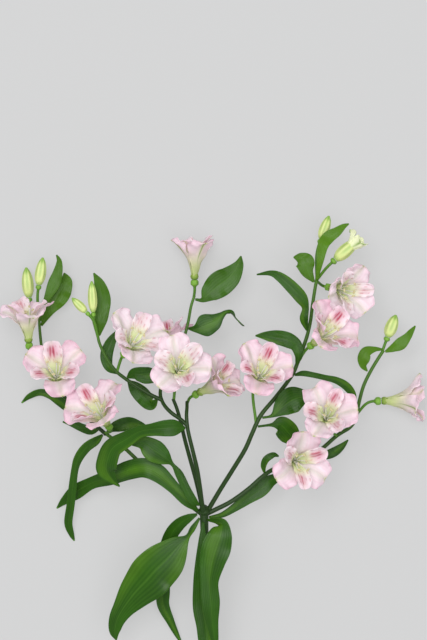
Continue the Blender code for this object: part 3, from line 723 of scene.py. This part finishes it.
def joint_on(branch, index, back):
    """The point on a ray where a stalk leaves it."""
    here, before = np.array(RAYS[branch][index], float), np.array(RAYS[branch][index - 1], float)
    return here + unit(before - here) * back


def stalk_curve(start, neck, axis):
    """(1-t)^3 start + 3 t (1-t)^2 first + 3 t^2 (1-t) second + t^3 neck; first and second bend it."""
    reach = np.linalg.norm(neck - start)
    t = np.linspace(0, 1, STALK_RINGS)[:, None]
    first = start + unit(neck - start) * reach * FIRST_PULL + np.array([0, 0, -SAG * reach])
    second = neck - axis * reach * LAST_PULL
    return start * (1 - t) ** 3 + 3 * first * t * (1 - t) ** 2 + 3 * second * t**2 * (1 - t) + neck * t**3


def fruit_part(base, axis, start, length, radius):
    """A stalk and its ovary as one tube; ribs and the riper green grow with the swelling."""
    axis = unit(np.array(axis, float))
    end = np.array(base, float) - axis * SEAT_GAP
    neck = end - axis * length
    along = np.linspace(0, 1, OVARY_RINGS + 1)[1:]
    path = np.vstack([stalk_curve(start, neck, axis), neck + axis * length * along[:, None]])
    swell = PEDICEL_R + (radius - PEDICEL_R) * step(along, 0, 0.45) - radius * NECKING * step(along, 0.75, 1)
    radii = np.concatenate([np.full(STALK_RINGS, PEDICEL_R), swell])
    ripe = np.concatenate([np.zeros(STALK_RINGS), step(along, 0, 0.4)])
    return tube_part(path, radii, STALK_SIDES, mix(STALK_YOUNG, OVARY, ripe), RIBS, RIB_DEPTH * ripe)


for k, (base, axis, _, _, branch, index) in enumerate(BLOOMS.values()):
    start = joint_on(branch, index, FLOWER_BACK + FLOWER_BACK_STEP * k)
    stem_parts.append(fruit_part(base, axis, start, *FLOWER_OVARY))
for k, (base, tip, width, branch, index) in enumerate(BUDS.values()):
    start, axis = joint_on(branch, index, BUD_BACK + BUD_BACK_STEP * k), np.subtract(tip, base)
    stem_parts.append(fruit_part(base, axis, start, BUD_OVARY_LENGTH, width * BUD_OVARY_SHARE))

print("stem:", make_piece("stem", stalk_skin, stem_parts), "faces")

# %% [markdown]
# ## Seating a leaf
#
# A leaf grows out of the skin of its stalk. The tables only say roughly where, so the foot of each leaf is
# moved to the nearest stalk: straight out from the stalk's middle, towards the leaf's second row. Doing this
# by hand for every leaf would leave gaps.

# %% The foot of a leaf
FOOT_GAP = 0.5
FOOT_WIDTH = 1.6
SEARCHED_A_POINT = 12


def seated(table):
    """The leaf's table with its foot at centre + out * (radius + gap) of the nearest stalk."""
    foot, second = np.array(table[0][:3], float), np.array(table[1][:3], float)
    nearest = None
    for line, radii in [main_stem_line()] + [ray_line(name) for name in RAYS]:
        fine = fine_line(line, radii, SEARCHED_A_POINT * len(line))
        away = np.linalg.norm(fine[:, :3] - foot, axis=1) - fine[:, 3]
        k = int(np.argmin(away))
        if nearest is None or away[k] < nearest[0]:
            tangent = unit(fine[min(k + 1, len(fine) - 1), :3] - fine[max(k - 1, 0), :3])
            nearest = (away[k], fine[k, :3], fine[k, 3], tangent)
    _, centre, radius, tangent = nearest
    out = second - centre
    out = unit(out - tangent * np.dot(out, tangent))
    return [(*(centre + out * (radius + FOOT_GAP)), FOOT_WIDTH, 0)] + list(table[1:])


print("first foot:", np.round(seated(LEAVES["leaf_whorl_long"])[0][:3], 1))

# %% [markdown]
# ## The leaf's surface
#
# The blade follows its midrib and widens and rolls as the table says. On top of that it is slightly cupped,
# creased along the midrib, waved where one edge lies higher than the other, and rippled near its edges.
# Modifiers could bend a flat leaf so, but only several in a row. One sum of terms does it at once.

# %% A leaf as a formula
LEAF_COLS = 21
CUP, WAVE, CREASE, RIPPLE = 0.16, 0.10, 0.04, 0.025
WAVES, RIPPLES = 2.2, 7
CREASE_WIDTH = 0.08
THINNEST = 0.9


def leaf_grid(table, rows, cols, phase):
    """midrib(u) + side(u) * v * half(u) + normal(u) * half(u) * (cup * v^2 + wave + ripple - crease)."""
    line = smooth_rows(table, rows)
    centre, width, roll = line[:, :3], np.maximum(line[:, 3], THINNEST), np.radians(line[:, 4])
    tangent = np.gradient(centre, axis=0)
    tangent /= np.linalg.norm(tangent, axis=1, keepdims=True)
    side = np.cross(tangent, np.array([0.0, 0.0, 1.0]))
    side /= np.linalg.norm(side, axis=1, keepdims=True)
    turned = side * np.cos(roll)[:, None] - np.cross(side, tangent) * np.sin(roll)[:, None]
    normal = np.cross(turned, tangent)
    u, v = (part[..., None] for part in grid_of(rows, cols))
    half = (width / 2)[:, None, None]
    wave = WAVE * v * np.sin(2 * math.pi * WAVES * u + phase)
    ripple = RIPPLE * v**2 * np.sin(2 * math.pi * RIPPLES * u + 2 * phase)
    crease = CREASE * np.exp(-((v / CREASE_WIDTH) ** 2))
    lift = half * (CUP * v**2 + wave + ripple - crease)
    return centre[:, None] + turned[:, None] * v * half + normal[:, None] * lift


print("leaf grid:", leaf_grid(LEAVES["leaf_whorl_broad"], 168, LEAF_COLS, 0.0).shape)

# %% [markdown]
# ## The leaf's colours
#
# The upper side is deep green, with painted shade in some patches and painted highlights of a brighter green
# in others, and paler lines along the veins and the midrib. The underside is paler all over. Young leaves
# near the flowers are a brighter green. Veins could be a texture, but as a cosine of v they run the length of
# the blade by themselves and draw together at its tip.

# %% Leaf colours, and the leaves' pieces
LEAF_THICKNESS = 0.6
LEAF_ROWS_A_POINT = 14
VEINS = 5
MIDRIB_WIDTH = 0.07
YOUNG_LEAVES = {
    "leaf_right_top": 0.6,
    "leaf_right_back": 0.4,
    "leaf_end_up": 0.55,
    "leaf_end_down": 0.6,
    "leaf_left_broad": 0.45,
    "leaf_left_top": 0.35,
    "leaf_shoot_pod": 0.3,
    "leaf_top_broad": 0.15,
}


def leaf_tints(rows, cols, k, young):
    """Colours of the leaf's top and underside; k changes the top's patches of painted shade and painted
    highlight.
    """
    u, v = grid_of(rows, cols)
    veins = 0.5 + 0.5 * np.cos(v * 2 * math.pi * VEINS)
    midrib = np.exp(-((v / MIDRIB_WIDTH) ** 2))
    # dark marks patches of painted shade on the top, and lit marks patches of painted highlight.
    dark = 0.5 + 0.5 * np.sin(9 * u + 1.7 * k) * np.cos(3 * v + k)
    lit = step(np.sin(4.5 * u + 2.3 * k + 1.2 * v) * np.cos(2 * v - k), 0.1, 1)
    top = mix(LEAF_TOP, LEAF_PAINTED_SHADE, 0.25 + 0.45 * dark)
    # Young leaves take the young green all over; on other leaves it is painted highlight where lit is high.
    top = mix(top, LEAF_YOUNG_AND_HIGHLIGHT, np.maximum(0.32 * lit, young))
    top = mix(top, LEAF_UNDER, 0.14 * veins + 0.16 * midrib)
    return top, mix(LEAF_UNDER, LEAF_TOP, 0.2 + 0.25 * veins)


def leaf_part(table, k, young):
    """One leaf, with its top colours on whichever face looks up at its middle."""
    rows = LEAF_ROWS_A_POINT * len(table)
    grid = leaf_grid(seated(table), rows, LEAF_COLS, 0.9 * k)
    top, under = leaf_tints(rows, LEAF_COLS, k, young)
    facing = np.cross(np.gradient(grid, axis=0), np.gradient(grid, axis=1))[rows // 2, LEAF_COLS // 2, 2]
    return blade_part(grid, LEAF_THICKNESS, *((top, under) if facing > 0 else (under, top)))


faces = 0
for k, (name, table) in enumerate(LEAVES.items()):
    faces += make_piece(name, leaf_skin, [leaf_part(table, k, YOUNG_LEAVES.get(name, 0.0))])
print(len(LEAVES), "leaves:", faces, "faces")

# %% [markdown]
# ## The petal's surface
#
# An alstroemeria has three broad outer petals and three narrow inner ones. Each rises steeply from the base,
# leans out, and ends in a round tip. Seen from the side, that rise is a profile: distance from the axis,
# height and width at a few points. A swept curve would give the profile, but not a width that changes with
# it, so each row of the table holds all three. A half open flower pulls the distance in and the height up.

# %% A petal from the side
OUTER_PETAL = [(2.0, 1.0, 4.0), (3.6, 8.0, 8.0), (7.5, 15.5, 16.0), (14.0, 21.0, 24.0), (20.0, 23.5, 22.0),
               (23.5, 23.5, 10.0)]
INNER_PETAL = [(1.5, 1.5, 3.5), (2.6, 9.0, 5.5), (5.5, 17.0, 9.0), (10.5, 23.5, 13.0), (15.5, 27.0, 12.0),
               (19.5, 28.0, 4.0)]
AXIS_GAP = 1.5
CLOSED = 0.35
TIP_FROM, TIP_BLUNTNESS = 0.64, 0.985
RISE_WHEN_CLOSED, RISE_BY_BEND, RISE_BY_LEAN = 0.45, 6.0, 3.0
PETAL_ROWS, PETAL_COLS = 46, 25


def petal_outline(profile, rows, spread, bend, lean):
    """Distance from the axis, height and width along a petal, as arrays over u.

    The distance is drawn in by the opening, and the height grows by bend * u^3 and lean * u^4.
    Past TIP_FROM the width follows the root of 1 - end^2.3, which gives a round tip.
    """
    line = smooth_rows(profile, rows)
    opening = CLOSED + (1 - CLOSED) * spread
    reach = line[:, 0]
    u = np.linspace(0, 1, rows)
    radius = AXIS_GAP + (reach - AXIS_GAP) * opening
    height = line[:, 1] + (reach - reach * opening) * RISE_WHEN_CLOSED
    height = height + bend * RISE_BY_BEND * u**3 + RISE_BY_LEAN * lean * u**4
    end = np.clip((u - TIP_FROM) / (1 - TIP_FROM), 0, 1)
    widest = np.interp(TIP_FROM, u, line[:, 2])
    return radius, height, np.where(u > TIP_FROM, widest, line[:, 2]) * np.sqrt(1 - TIP_BLUNTNESS * end**2.3)


print("widest outer petal:", round(petal_outline(OUTER_PETAL, PETAL_ROWS, 1.0, 0.0, 0.0)[2].max(), 1), "mm")

# %% [markdown]
# ## Curls, frills and folds
#
# A real petal is never smooth. Its edges curl, frill and roll, its middle is folded, soft pleats run along
# it, and one half may stand higher. A cloth simulation would crumple it too, but with no say in where. So
# each of these is a term of its own, and three random amounts make every petal another one: its twist, its
# roll and its fullness.

# %% A petal as a formula
FRILL, FRILL_WAVES = 0.08, 1.3
LACE, LACE_WAVES = 0.11, 4.3
TREMBLE, TWIST, ROLL = 0.05, 0.3, 0.42
FOLD, FOLD_WIDTH = 0.22, 0.12
PLEAT, PLEATS, PLEATED_WIDTH = 0.5, 1.3, 24
NARROWED, OPENED, FILLED = 0.55, 0.45, 0.12


def petal_lift(u, v, half, width, cup, phase, crumple):
    """How far each point of a petal stands off its middle line: a sum of waves and powers of u and v.

    Curl, frill, lace, tremble, twist and roll are shares of the half width; fold and pleat are millimetres.
    """
    twist, roll, fullness = crumple
    curl = cup * half * v**2
    frill = FRILL * half * v * np.sin(2 * math.pi * FRILL_WAVES * u + phase)
    lace = LACE * half * np.abs(v) ** 3 * np.sin(2 * math.pi * LACE_WAVES * u + 3 * phase + 1.5 * v)
    tremble = TREMBLE * half * np.sin(7 * u + 6 * v + phase) * step(u, 0.3, 0.7)
    fold = -FOLD * np.exp(-((v / FOLD_WIDTH) ** 2)) * step(u, 0.15, 0.6)
    twisted = TWIST * twist * half * v * u**2
    rolled = ROLL * roll * half * np.abs(v) ** 2.5 * (1 + np.sign(fullness) * v) / 2 * step(u, 0.4, 1)
    waves = np.cos(2 * math.pi * PLEATS * v + 2 * fullness)
    pleat = PLEAT * waves * step(u, 0.2, 0.75) * (width / PLEATED_WIDTH)
    return curl + frill + lace + tremble + fold + twisted + rolled + pleat


def petal_grid(profile, rows, cols, spread, bend, cup, phase, crumple):
    """A petal over the local +X side of an upright flower: its outline, set off square to it by its lift."""
    twist, _, fullness = crumple
    radius, height, width = petal_outline(profile, rows, spread, bend, twist)
    slope = np.arctan2(np.gradient(height), np.gradient(radius))[:, None]
    u, v = grid_of(rows, cols)
    half = width[:, None] / 2 * (NARROWED + OPENED * min(spread, 1.0)) * (1 + FILLED * fullness)
    lift = petal_lift(u, v, half, width[:, None], cup, phase, crumple)
    away, up = radius[:, None] - np.sin(slope) * lift, height[:, None] + np.cos(slope) * lift
    return np.stack([away, half * v, up], axis=2)


flat = petal_grid(OUTER_PETAL, PETAL_ROWS, PETAL_COLS, 1.0, 0.0, 0.3, 0.0, (0, 0, 0))
print("an outer petal with no crumple:", np.ptp(flat, axis=(0, 1)).round(1), "mm")

# %% [markdown]
# ## Turning a petal into its place
#
# Each flower faces its own way, and its petals stand round its axis. Empties as parents could turn them, but
# here a piece is one mesh that holds its own place. So a petal's points are turned about the axis, and the
# flower's three directions, as a matrix, then carry them to where it faces.


# %% A flower's own three directions
def flower_frame(axis, turn):
    """Rows are the flower's own X, Y and Z; Z is its axis."""
    z = unit(np.array(axis, float))
    helper = np.array([0.0, 0.0, 1.0]) if abs(z[2]) < 0.9 else np.array([0.0, 1.0, 0.0])
    x = unit(np.cross(helper, z))
    y = np.cross(z, x)
    cos, sin = math.cos(math.radians(turn)), math.sin(math.radians(turn))
    return np.array([x * cos + y * sin, y * cos - x * sin, z])


def turn_about_axis(points, degrees):
    """x and y become x cos - y sin and x sin + y cos; z stays."""
    c, s = math.cos(math.radians(degrees)), math.sin(math.radians(degrees))
    x, y, z = np.moveaxis(points, -1, 0)
    return np.stack([c * x - s * y, s * x + c * y, z], axis=-1)


print("a flower that faces straight up:", flower_frame((0, 0, 1), 0)[2])

# %% [markdown]
# ## Colours of the outer petals
#
# Outer petals are pale, blush towards their edge, and end in a small green point. On their back a green keel
# runs up the middle from a lime foot. A painted picture would need a map for every petal. Here each colour is
# a soft step or a bell of u and v, mixed in one after the other, so that every petal gets its own by a few
# random amounts.


# %% Face and back of an outer petal
def bell(x, width, power=2):
    """1 at x = 0, falling off on both sides like exp(-(x / width)^power)."""
    return np.exp(-((x / width) ** power))


def outer_tints(rows, cols, draw, rosy):
    """Face and back of an outer petal; rosy runs from 0, nearly white, to 1."""
    u, v = grid_of(rows, cols)
    rosy = np.clip(rosy + draw.uniform(-0.15, 0.2), 0, 1)
    cloud = 0.6 + 0.4 * np.sin(3 * v + draw.uniform(0, 6))
    face = mix(PALE, BLUSH, 0.25 + rosy * (0.3 + 0.5 * v**2) + 0.35 * step(u, 0.55, 1))
    face = mix(face, ROSE, rosy**2 * 0.32 * step(u, 0.25, 0.9) * cloud)
    face = mix(face, ROSE, 0.12 * step(np.abs(v), 0.7, 1) * step(u, 0.5, 0.9))
    face = mix(face, ROSE, 0.12 * step(np.cos(v * 44 + 4 * u), 0.3, 1) * step(u, 0.25, 0.6))
    back = mix(face, BLUSH, 0.4)
    stripe = bell(v, 0.2) * step(u, 0.3, 0.8)
    keel = bell(v, 0.05) * step(u, 0.2, 0.5)
    point = step(u, 0.93, 1) * bell(v, 0.5)
    face = mix(mix(mix(face, LIME, 0.06 * stripe), THROAT, 1 - step(u, 0.05, 0.32)), LIME, 0.9 * point)
    back = mix(mix(back, LIME, 0.6 * stripe), LIME, 0.75 * (1 - step(u, 0.1, 0.62)))
    return face, mix(mix(back, BUD_GREEN, 0.9 * keel), LIME, point)


print("a bell falls at its width to", round(float(bell(1.0, 1.0)), 3))

# %% [markdown]
# ## Colours of the inner petals
#
# The inner petals guide insects in: a yellow-green throat, lanes of fine dashes, and on rosier flowers a
# patch of raspberry strokes. The dashes are a product of two waves, one across the petal and one along it.
# Only how rosy a flower is comes from a table, because neighbours on this plant differ.


# %% Face and back of an inner petal
def inner_tints(rows, cols, draw, rosy):
    """Face and back of an inner petal, with its dashes and its patch of strokes."""
    u, v = grid_of(rows, cols)
    face = mix(THROAT, PALE, step(u, 0.4, 0.66) * 0.95)
    face = mix(face, BLUSH, step(u, 0.7, 1) * draw.uniform(0.4, 1.0))
    lanes = np.cos(v * math.pi * 4.5 + draw.uniform(-0.5, 0.5))
    dashes = np.sin(u * 34 + np.round(v * 4.5) * 2.3 + draw.uniform(0, 6))
    marked = step(lanes, 0.55, 0.95) * step(dashes, 0.0, 0.6)
    marked = marked * step(u, 0.42, 0.54) * (1 - step(u, 0.76, 0.88))
    strong = np.clip(0.3 + 0.9 * rosy + draw.uniform(-0.25, 0.3), 0.1, 1.0)
    wash = bell(u - 0.72, 0.2) * bell(v - draw.uniform(-0.2, 0.2), 0.7)
    patch = bell(u - 0.68, 0.13, 4) * bell(v - draw.uniform(-0.3, 0.3), 0.36, 4)
    strokes = 0.25 + 0.75 * step(np.cos(v * 17 + 3 * u), -0.3, 0.6)
    face = mix(mix(face, ROSE, 0.7 * strong * wash), STREAK, np.minimum(0.92 * strong * patch * strokes, 0.9))
    back = mix(mix(THROAT, BLUSH, step(u, 0.3, 0.7)), LIME, bell(v, 0.3) * step(u, 0.4, 1) * 0.6)
    return mix(face, STREAK, 0.45 * marked), back


ROSINESS = {
    "bloom_left_outer": 0.2,
    "bloom_left_upper": 0.55,
    "bloom_left_lower": 0.65,
    "bloom_shoot": 0.05,
    "bloom_back": 1.0,
    "bloom_centre": 0.15,
    "bloom_centre_side": 0.55,
    "bloom_top": 0.3,
    "bloom_right_inner": 0.75,
    "bloom_right_middle": 0.7,
    "bloom_right_upper": 0.15,
    "bloom_right_lower": 0.4,
    "bloom_right_bottom": 0.45,
    "bloom_end": 0.05,
}
print("rosiest flower:", max(ROSINESS, key=ROSINESS.get))

# %% [markdown]
# ## Six petals
#
# The two rings of three petals stand a sixth of a turn apart. Copies of one petal would look stamped. So two
# generators draw random amounts: the first draws what the solid model draws too, in the same order, so that
# each petal lies on its solid, and the second draws what only this script adds.

# %% Two rings of petals
PETAL_THICKNESS = 0.5
TINT_SEED = 1000
PETAL_RINGS = (
    (OUTER_PETAL, 90, 0.30, (-0.35, 0.35), outer_tints),
    (INNER_PETAL, 30, 0.30, (-0.2, 0.3), inner_tints),
)


def petal_parts(seed, spread, matrix, base, rosy):
    """Three outer and three inner petals, a third of a turn apart."""
    draw, draw_tint = np.random.default_rng(seed), np.random.default_rng(TINT_SEED + seed)
    parts = []
    for profile, first, cup, bends, tints_of in PETAL_RINGS:
        for k in range(3):
            bend, turn, phase = draw.uniform(*bends), draw.uniform(-6, 6), draw.uniform(0, 6)
            crumple = draw_tint.uniform(-1, 1, 3)
            grid = petal_grid(profile, PETAL_ROWS, PETAL_COLS, spread, bend, cup, phase, crumple)
            grid = turn_about_axis(grid, first + 120 * k + turn) @ matrix + base
            face, back = tints_of(PETAL_ROWS, PETAL_COLS, draw_tint, rosy)
            parts.append(blade_part(grid, PETAL_THICKNESS, face, back))
    return parts


print("each petal:", PETAL_ROWS, "by", PETAL_COLS, "points on each of its two faces")

# %% [markdown]
# ## Stamens
#
# Six thin stamens stand in the throat and lean outwards, each with an anther full of pollen across its top.
# They could be sculpted with their grooves, but from a step away only their lines and ends show. So a
# filament is a plain tube through four points, and an anther is a short tube with an oval outline.

# %% Filaments and anthers
FILAMENT_R, FILAMENT_RINGS, FILAMENT_SIDES = 0.36, 14, 8
ANTHER_R, ANTHER_HALF, ANTHER_RINGS, ANTHER_SIDES = 0.72, 1.5, 9, 10
LEAN, LEAN_STEP, TOP, TOP_STEP = 3.2, 1.3, 22.0, 1.4


def stamen_parts(spread, matrix, base):
    """Six filaments through four points each, and across each top an anther of radius sqrt(1 - along^2)."""
    parts = []
    for k in range(6):
        angle = math.radians(60 * k + 12)
        c, s = math.cos(angle), math.sin(angle)
        lean, top = (LEAN + LEAN_STEP * (k % 3)) * (0.5 + 0.5 * spread), TOP + TOP_STEP * (k % 4)
        away, height = np.array([0.6, 1.5, lean, lean * 1.25]), np.array([3, 12, 18, top])
        control = np.column_stack([away * c, away * s, height])
        path = smooth_rows(control, FILAMENT_RINGS) @ matrix + base
        parts.append(tube_part(path, np.full(FILAMENT_RINGS, FILAMENT_R), FILAMENT_SIDES, PALE))
        along = np.linspace(-1, 1, ANTHER_RINGS)
        anther = control[-1] + ANTHER_HALF * along[:, None] * unit(np.array([-s, c, 0.3]))
        radii = ANTHER_R * np.sqrt(np.clip(1 - (0.97 * along) ** 2, 0.02, 1))
        parts.append(tube_part(anther @ matrix + base, radii, ANTHER_SIDES, ANTHER))
    return parts


print("anthers are", 2 * ANTHER_HALF, "mm long")

# %% [markdown]
# ## Whole flowers
#
# A small ribbed cup, green like the ovary below it, holds petals and stamens together. It could be left out,
# but then the feet of the six petals would be seen to run through each other. Cup, petals and stamens of one
# flower become one piece, because they are grown as one.

# %% The flowers' pieces
PETAL_SEED = 11
CUP_HEIGHTS = (0, 0.7, 2, 3.5, 5)
CUP_RADII = (1.9, 2.5, 2.9, 2.6, 2.1)
CUP_RIB_DEPTH = 0.05


def cup_part(matrix, base):
    """A tube of five rings along the flower's axis, from the ovary's green to lime."""
    path = np.outer(CUP_HEIGHTS, (0, 0, 1)) @ matrix + base
    tints = mix(OVARY, LIME, np.linspace(0.1, 0.9, len(CUP_HEIGHTS)))
    return tube_part(path, CUP_RADII, STALK_SIDES, tints, RIBS, CUP_RIB_DEPTH)


faces = 0
for k, (name, (base, axis, turn, spread, _, _)) in enumerate(BLOOMS.items()):
    matrix, base = flower_frame(axis, turn), np.array(base, float)
    parts = [cup_part(matrix, base)] + petal_parts(PETAL_SEED + k, spread, matrix, base, ROSINESS[name])
    faces += make_piece(name, petal_skin, parts + stamen_parts(spread, matrix, base))
print(len(BLOOMS), "flowers:", faces, "faces")

# %% [markdown]
# ## Buds
#
# A bud is six petals still folded into a spindle. Six ribs run along it, pale on their backs and greener
# between them, and it is green at its foot and at its tip. Folding real petals would hide most of their work
# inside. One tube with waving rings gives the same outside.

# %% A spindle with ribs
BUD_RINGS, BUD_SIDES = 44, 48
BUD_SHAPE = [
    (0, 0.42), (0.05, 0.62), (0.12, 0.8), (0.25, 0.95), (0.4, 1), (0.55, 0.96), (0.7, 0.84), (0.82, 0.66),
    (0.9, 0.47), (0.96, 0.28), (1, 0.1),
]
BUD_FULLNESS = 0.97
BUD_ROUNDING = 5
BUD_RIB_DEPTH = 0.07


def bud_part(base, tip, width):
    """A ribbed tube along base + (tip - base) * t, with radius width / 2 * shape(t).

    shape runs through the points of BUD_SHAPE and is rounded by an average over five rings.
    """
    base, tip = np.array(base, float), np.array(tip, float)
    t = np.linspace(0, 1, BUD_RINGS)
    shape = np.pad(np.interp(t, *zip(*BUD_SHAPE)), BUD_ROUNDING // 2, mode="edge")
    shape = np.convolve(shape, np.ones(BUD_ROUNDING) / BUD_ROUNDING, mode="valid")
    angle = np.arange(BUD_SIDES) * 2 * math.pi / BUD_SIDES
    rib = (0.5 - 0.5 * np.cos(RIBS * angle))[None, :] * step(t, 0.1, 0.5)[:, None]
    ends = 0.75 * step(t, 0.72, 0.98)[:, None] + 0.6 * (1 - step(t, 0, 0.18))[:, None]
    tints = mix(BUD_PALE, BUD_GREEN, 0.15 + ends + 0.5 * rib).reshape(-1, 3)
    path = base + (tip - base) * t[:, None]
    depth = BUD_RIB_DEPTH * step(t, 0.05, 0.3)
    part = tube_part(path, width / 2 * BUD_FULLNESS * shape, BUD_SIDES, tints, RIBS, depth)
    part["uv"][:, 1] = np.repeat(t, BUD_SIDES)
    return part


print("a bud has", BUD_RINGS, "rings of", BUD_SIDES, "points")

# %% [markdown]
# ## The bud that opens
#
# One bud at the right is about to open. The petal's formula alone, nearly closed, leaves a waist where the
# body should be full. So the spindle stays as the body, a little shorter, and three small petals part above
# it.

# %% Petals above a spindle, and the buds' pieces
OPENING_BUD = "bud_right_open"
OPENING_ROWS, OPENING_COLS = 40, 19
OPENING_BENDS = (-0.1, 0.2, -0.3)
OPENING_CRUMPLE = (-0.4, 0.1, -0.6)
OPENING_SPREAD, OPENING_CUP = 0.1, 0.55
OPENING_SIZE = 0.78
BODY_LENGTH, BODY_WIDTH = 0.96, 0.95


def opening_bud_parts(base, tip, width):
    """A shortened spindle, and three petals of OPENING_SIZE a third of a turn apart."""
    base, tip = np.array(base, float), np.array(tip, float)
    matrix = flower_frame(tip - base, 20)
    u, v = grid_of(OPENING_ROWS, OPENING_COLS)
    face = mix(LIME, mix(BUD_PALE, PALE, 0.35), step(u, 0.1, 0.6))
    back = mix(mix(face, BUD_GREEN, 0.85 * bell(v, 0.2) * step(u, 0.25, 0.7)), BUD_GREEN, step(u, 0.8, 1))
    parts = [bud_part(base, base + BODY_LENGTH * (tip - base), width * BODY_WIDTH)]
    for k, bend in enumerate(OPENING_BENDS):
        shape = (OPENING_SPREAD, bend, OPENING_CUP, 2.0 * k, OPENING_CRUMPLE)
        grid = petal_grid(OUTER_PETAL, OPENING_ROWS, OPENING_COLS, *shape)
        grid = turn_about_axis(grid * OPENING_SIZE, 90 + 120 * k) @ matrix + base
        parts.append(blade_part(grid, PETAL_THICKNESS, face, back))
    return parts


faces = 0
for name, (base, tip, width, _, _) in BUDS.items():
    parts = opening_bud_parts(base, tip, width) if name == OPENING_BUD else [bud_part(base, tip, width)]
    faces += make_piece(name, bud_skin, parts)
print(len(BUDS), "buds:", faces, "faces")

# %% [markdown]
# ## Table
#
# The stem lies on something plain and pale, and hardly casts a shadow. A white plane under soft lamps would
# still show one. So the table is a grey sheet that gives off a little light of its own, as a light table
# does, and the shadows on it stay faint.

# %% A sheet that glows a little
TABLE_HALF = 4.0
PAPER_GREY = (0.16, 0.161, 0.162, 1)
PAPER_GLOW = 0.425

floor_mesh = bpy.data.meshes.new("table_top")
corners = [(TABLE_HALF * x, TABLE_HALF * y, 0) for x, y in ((-1, -1), (1, -1), (1, 1), (-1, 1))]
floor_mesh.from_pydata(corners, [], [(0, 1, 2, 3)])
floor = bpy.data.objects.new("table_top", floor_mesh)
bpy.context.collection.objects.link(floor)
paper = bpy.data.materials.new("table_paper")
paper.use_nodes = True
for socket, value in {
    "Base Color": PAPER_GREY,
    "Emission Color": (1.0, 1.0, 1.0, 1),
    "Emission Strength": PAPER_GLOW,
    "Roughness": 0.9,
    "Specular IOR Level": 0.1,
}.items():
    paper.node_tree.nodes["Principled BSDF"].inputs[socket].default_value = value
floor_mesh.materials.append(paper)
print("table:", 2 * TABLE_HALF, "m a side")

# %% [markdown]
# ## Light
#
# The light in the photograph is soft and comes from nearly everywhere. A sun lamp would draw hard edges, so
# much of the light here comes from an even sky. A wide lamp at the upper left gives the leaves their sheen,
# and a weaker one on the other side fills in.

# %% Lamps and sky
LAMP_HEIGHT = 2.6
LIT_POINT = np.array([0.0, 0.15, 0.0])
SKY = (0.98, 0.99, 1.0, 1)
SKY_STRENGTH = 0.66


def soft_lamp(name, x, y, size, power):
    """A square lamp of this size in metres, tilted by acos(-z) and turned so that it faces LIT_POINT."""
    lamp = bpy.data.objects.new(name, bpy.data.lights.new(name, "AREA"))
    lamp.data.size = size
    lamp.data.energy = power
    bpy.context.collection.objects.link(lamp)
    lamp.location = (x, y, LAMP_HEIGHT)
    way = LIT_POINT - np.array([x, y, LAMP_HEIGHT])
    tilt = math.acos(-way[2] / np.linalg.norm(way))
    lamp.rotation_euler = (tilt, 0.0, math.atan2(way[1], way[0]) + math.pi / 2 + math.pi)


soft_lamp("window", -0.5, 0.75, 1.5, 48.0)
soft_lamp("fill", 0.7, -0.3, 2.0, 26.0)
scene.world = scene.world or bpy.data.worlds.new("sky")
scene.world.use_nodes = True
scene.world.node_tree.nodes["Background"].inputs["Color"].default_value = SKY
scene.world.node_tree.nodes["Background"].inputs["Strength"].default_value = SKY_STRENGTH
scene.view_settings.view_transform = "Standard"
print("two lamps and an even sky")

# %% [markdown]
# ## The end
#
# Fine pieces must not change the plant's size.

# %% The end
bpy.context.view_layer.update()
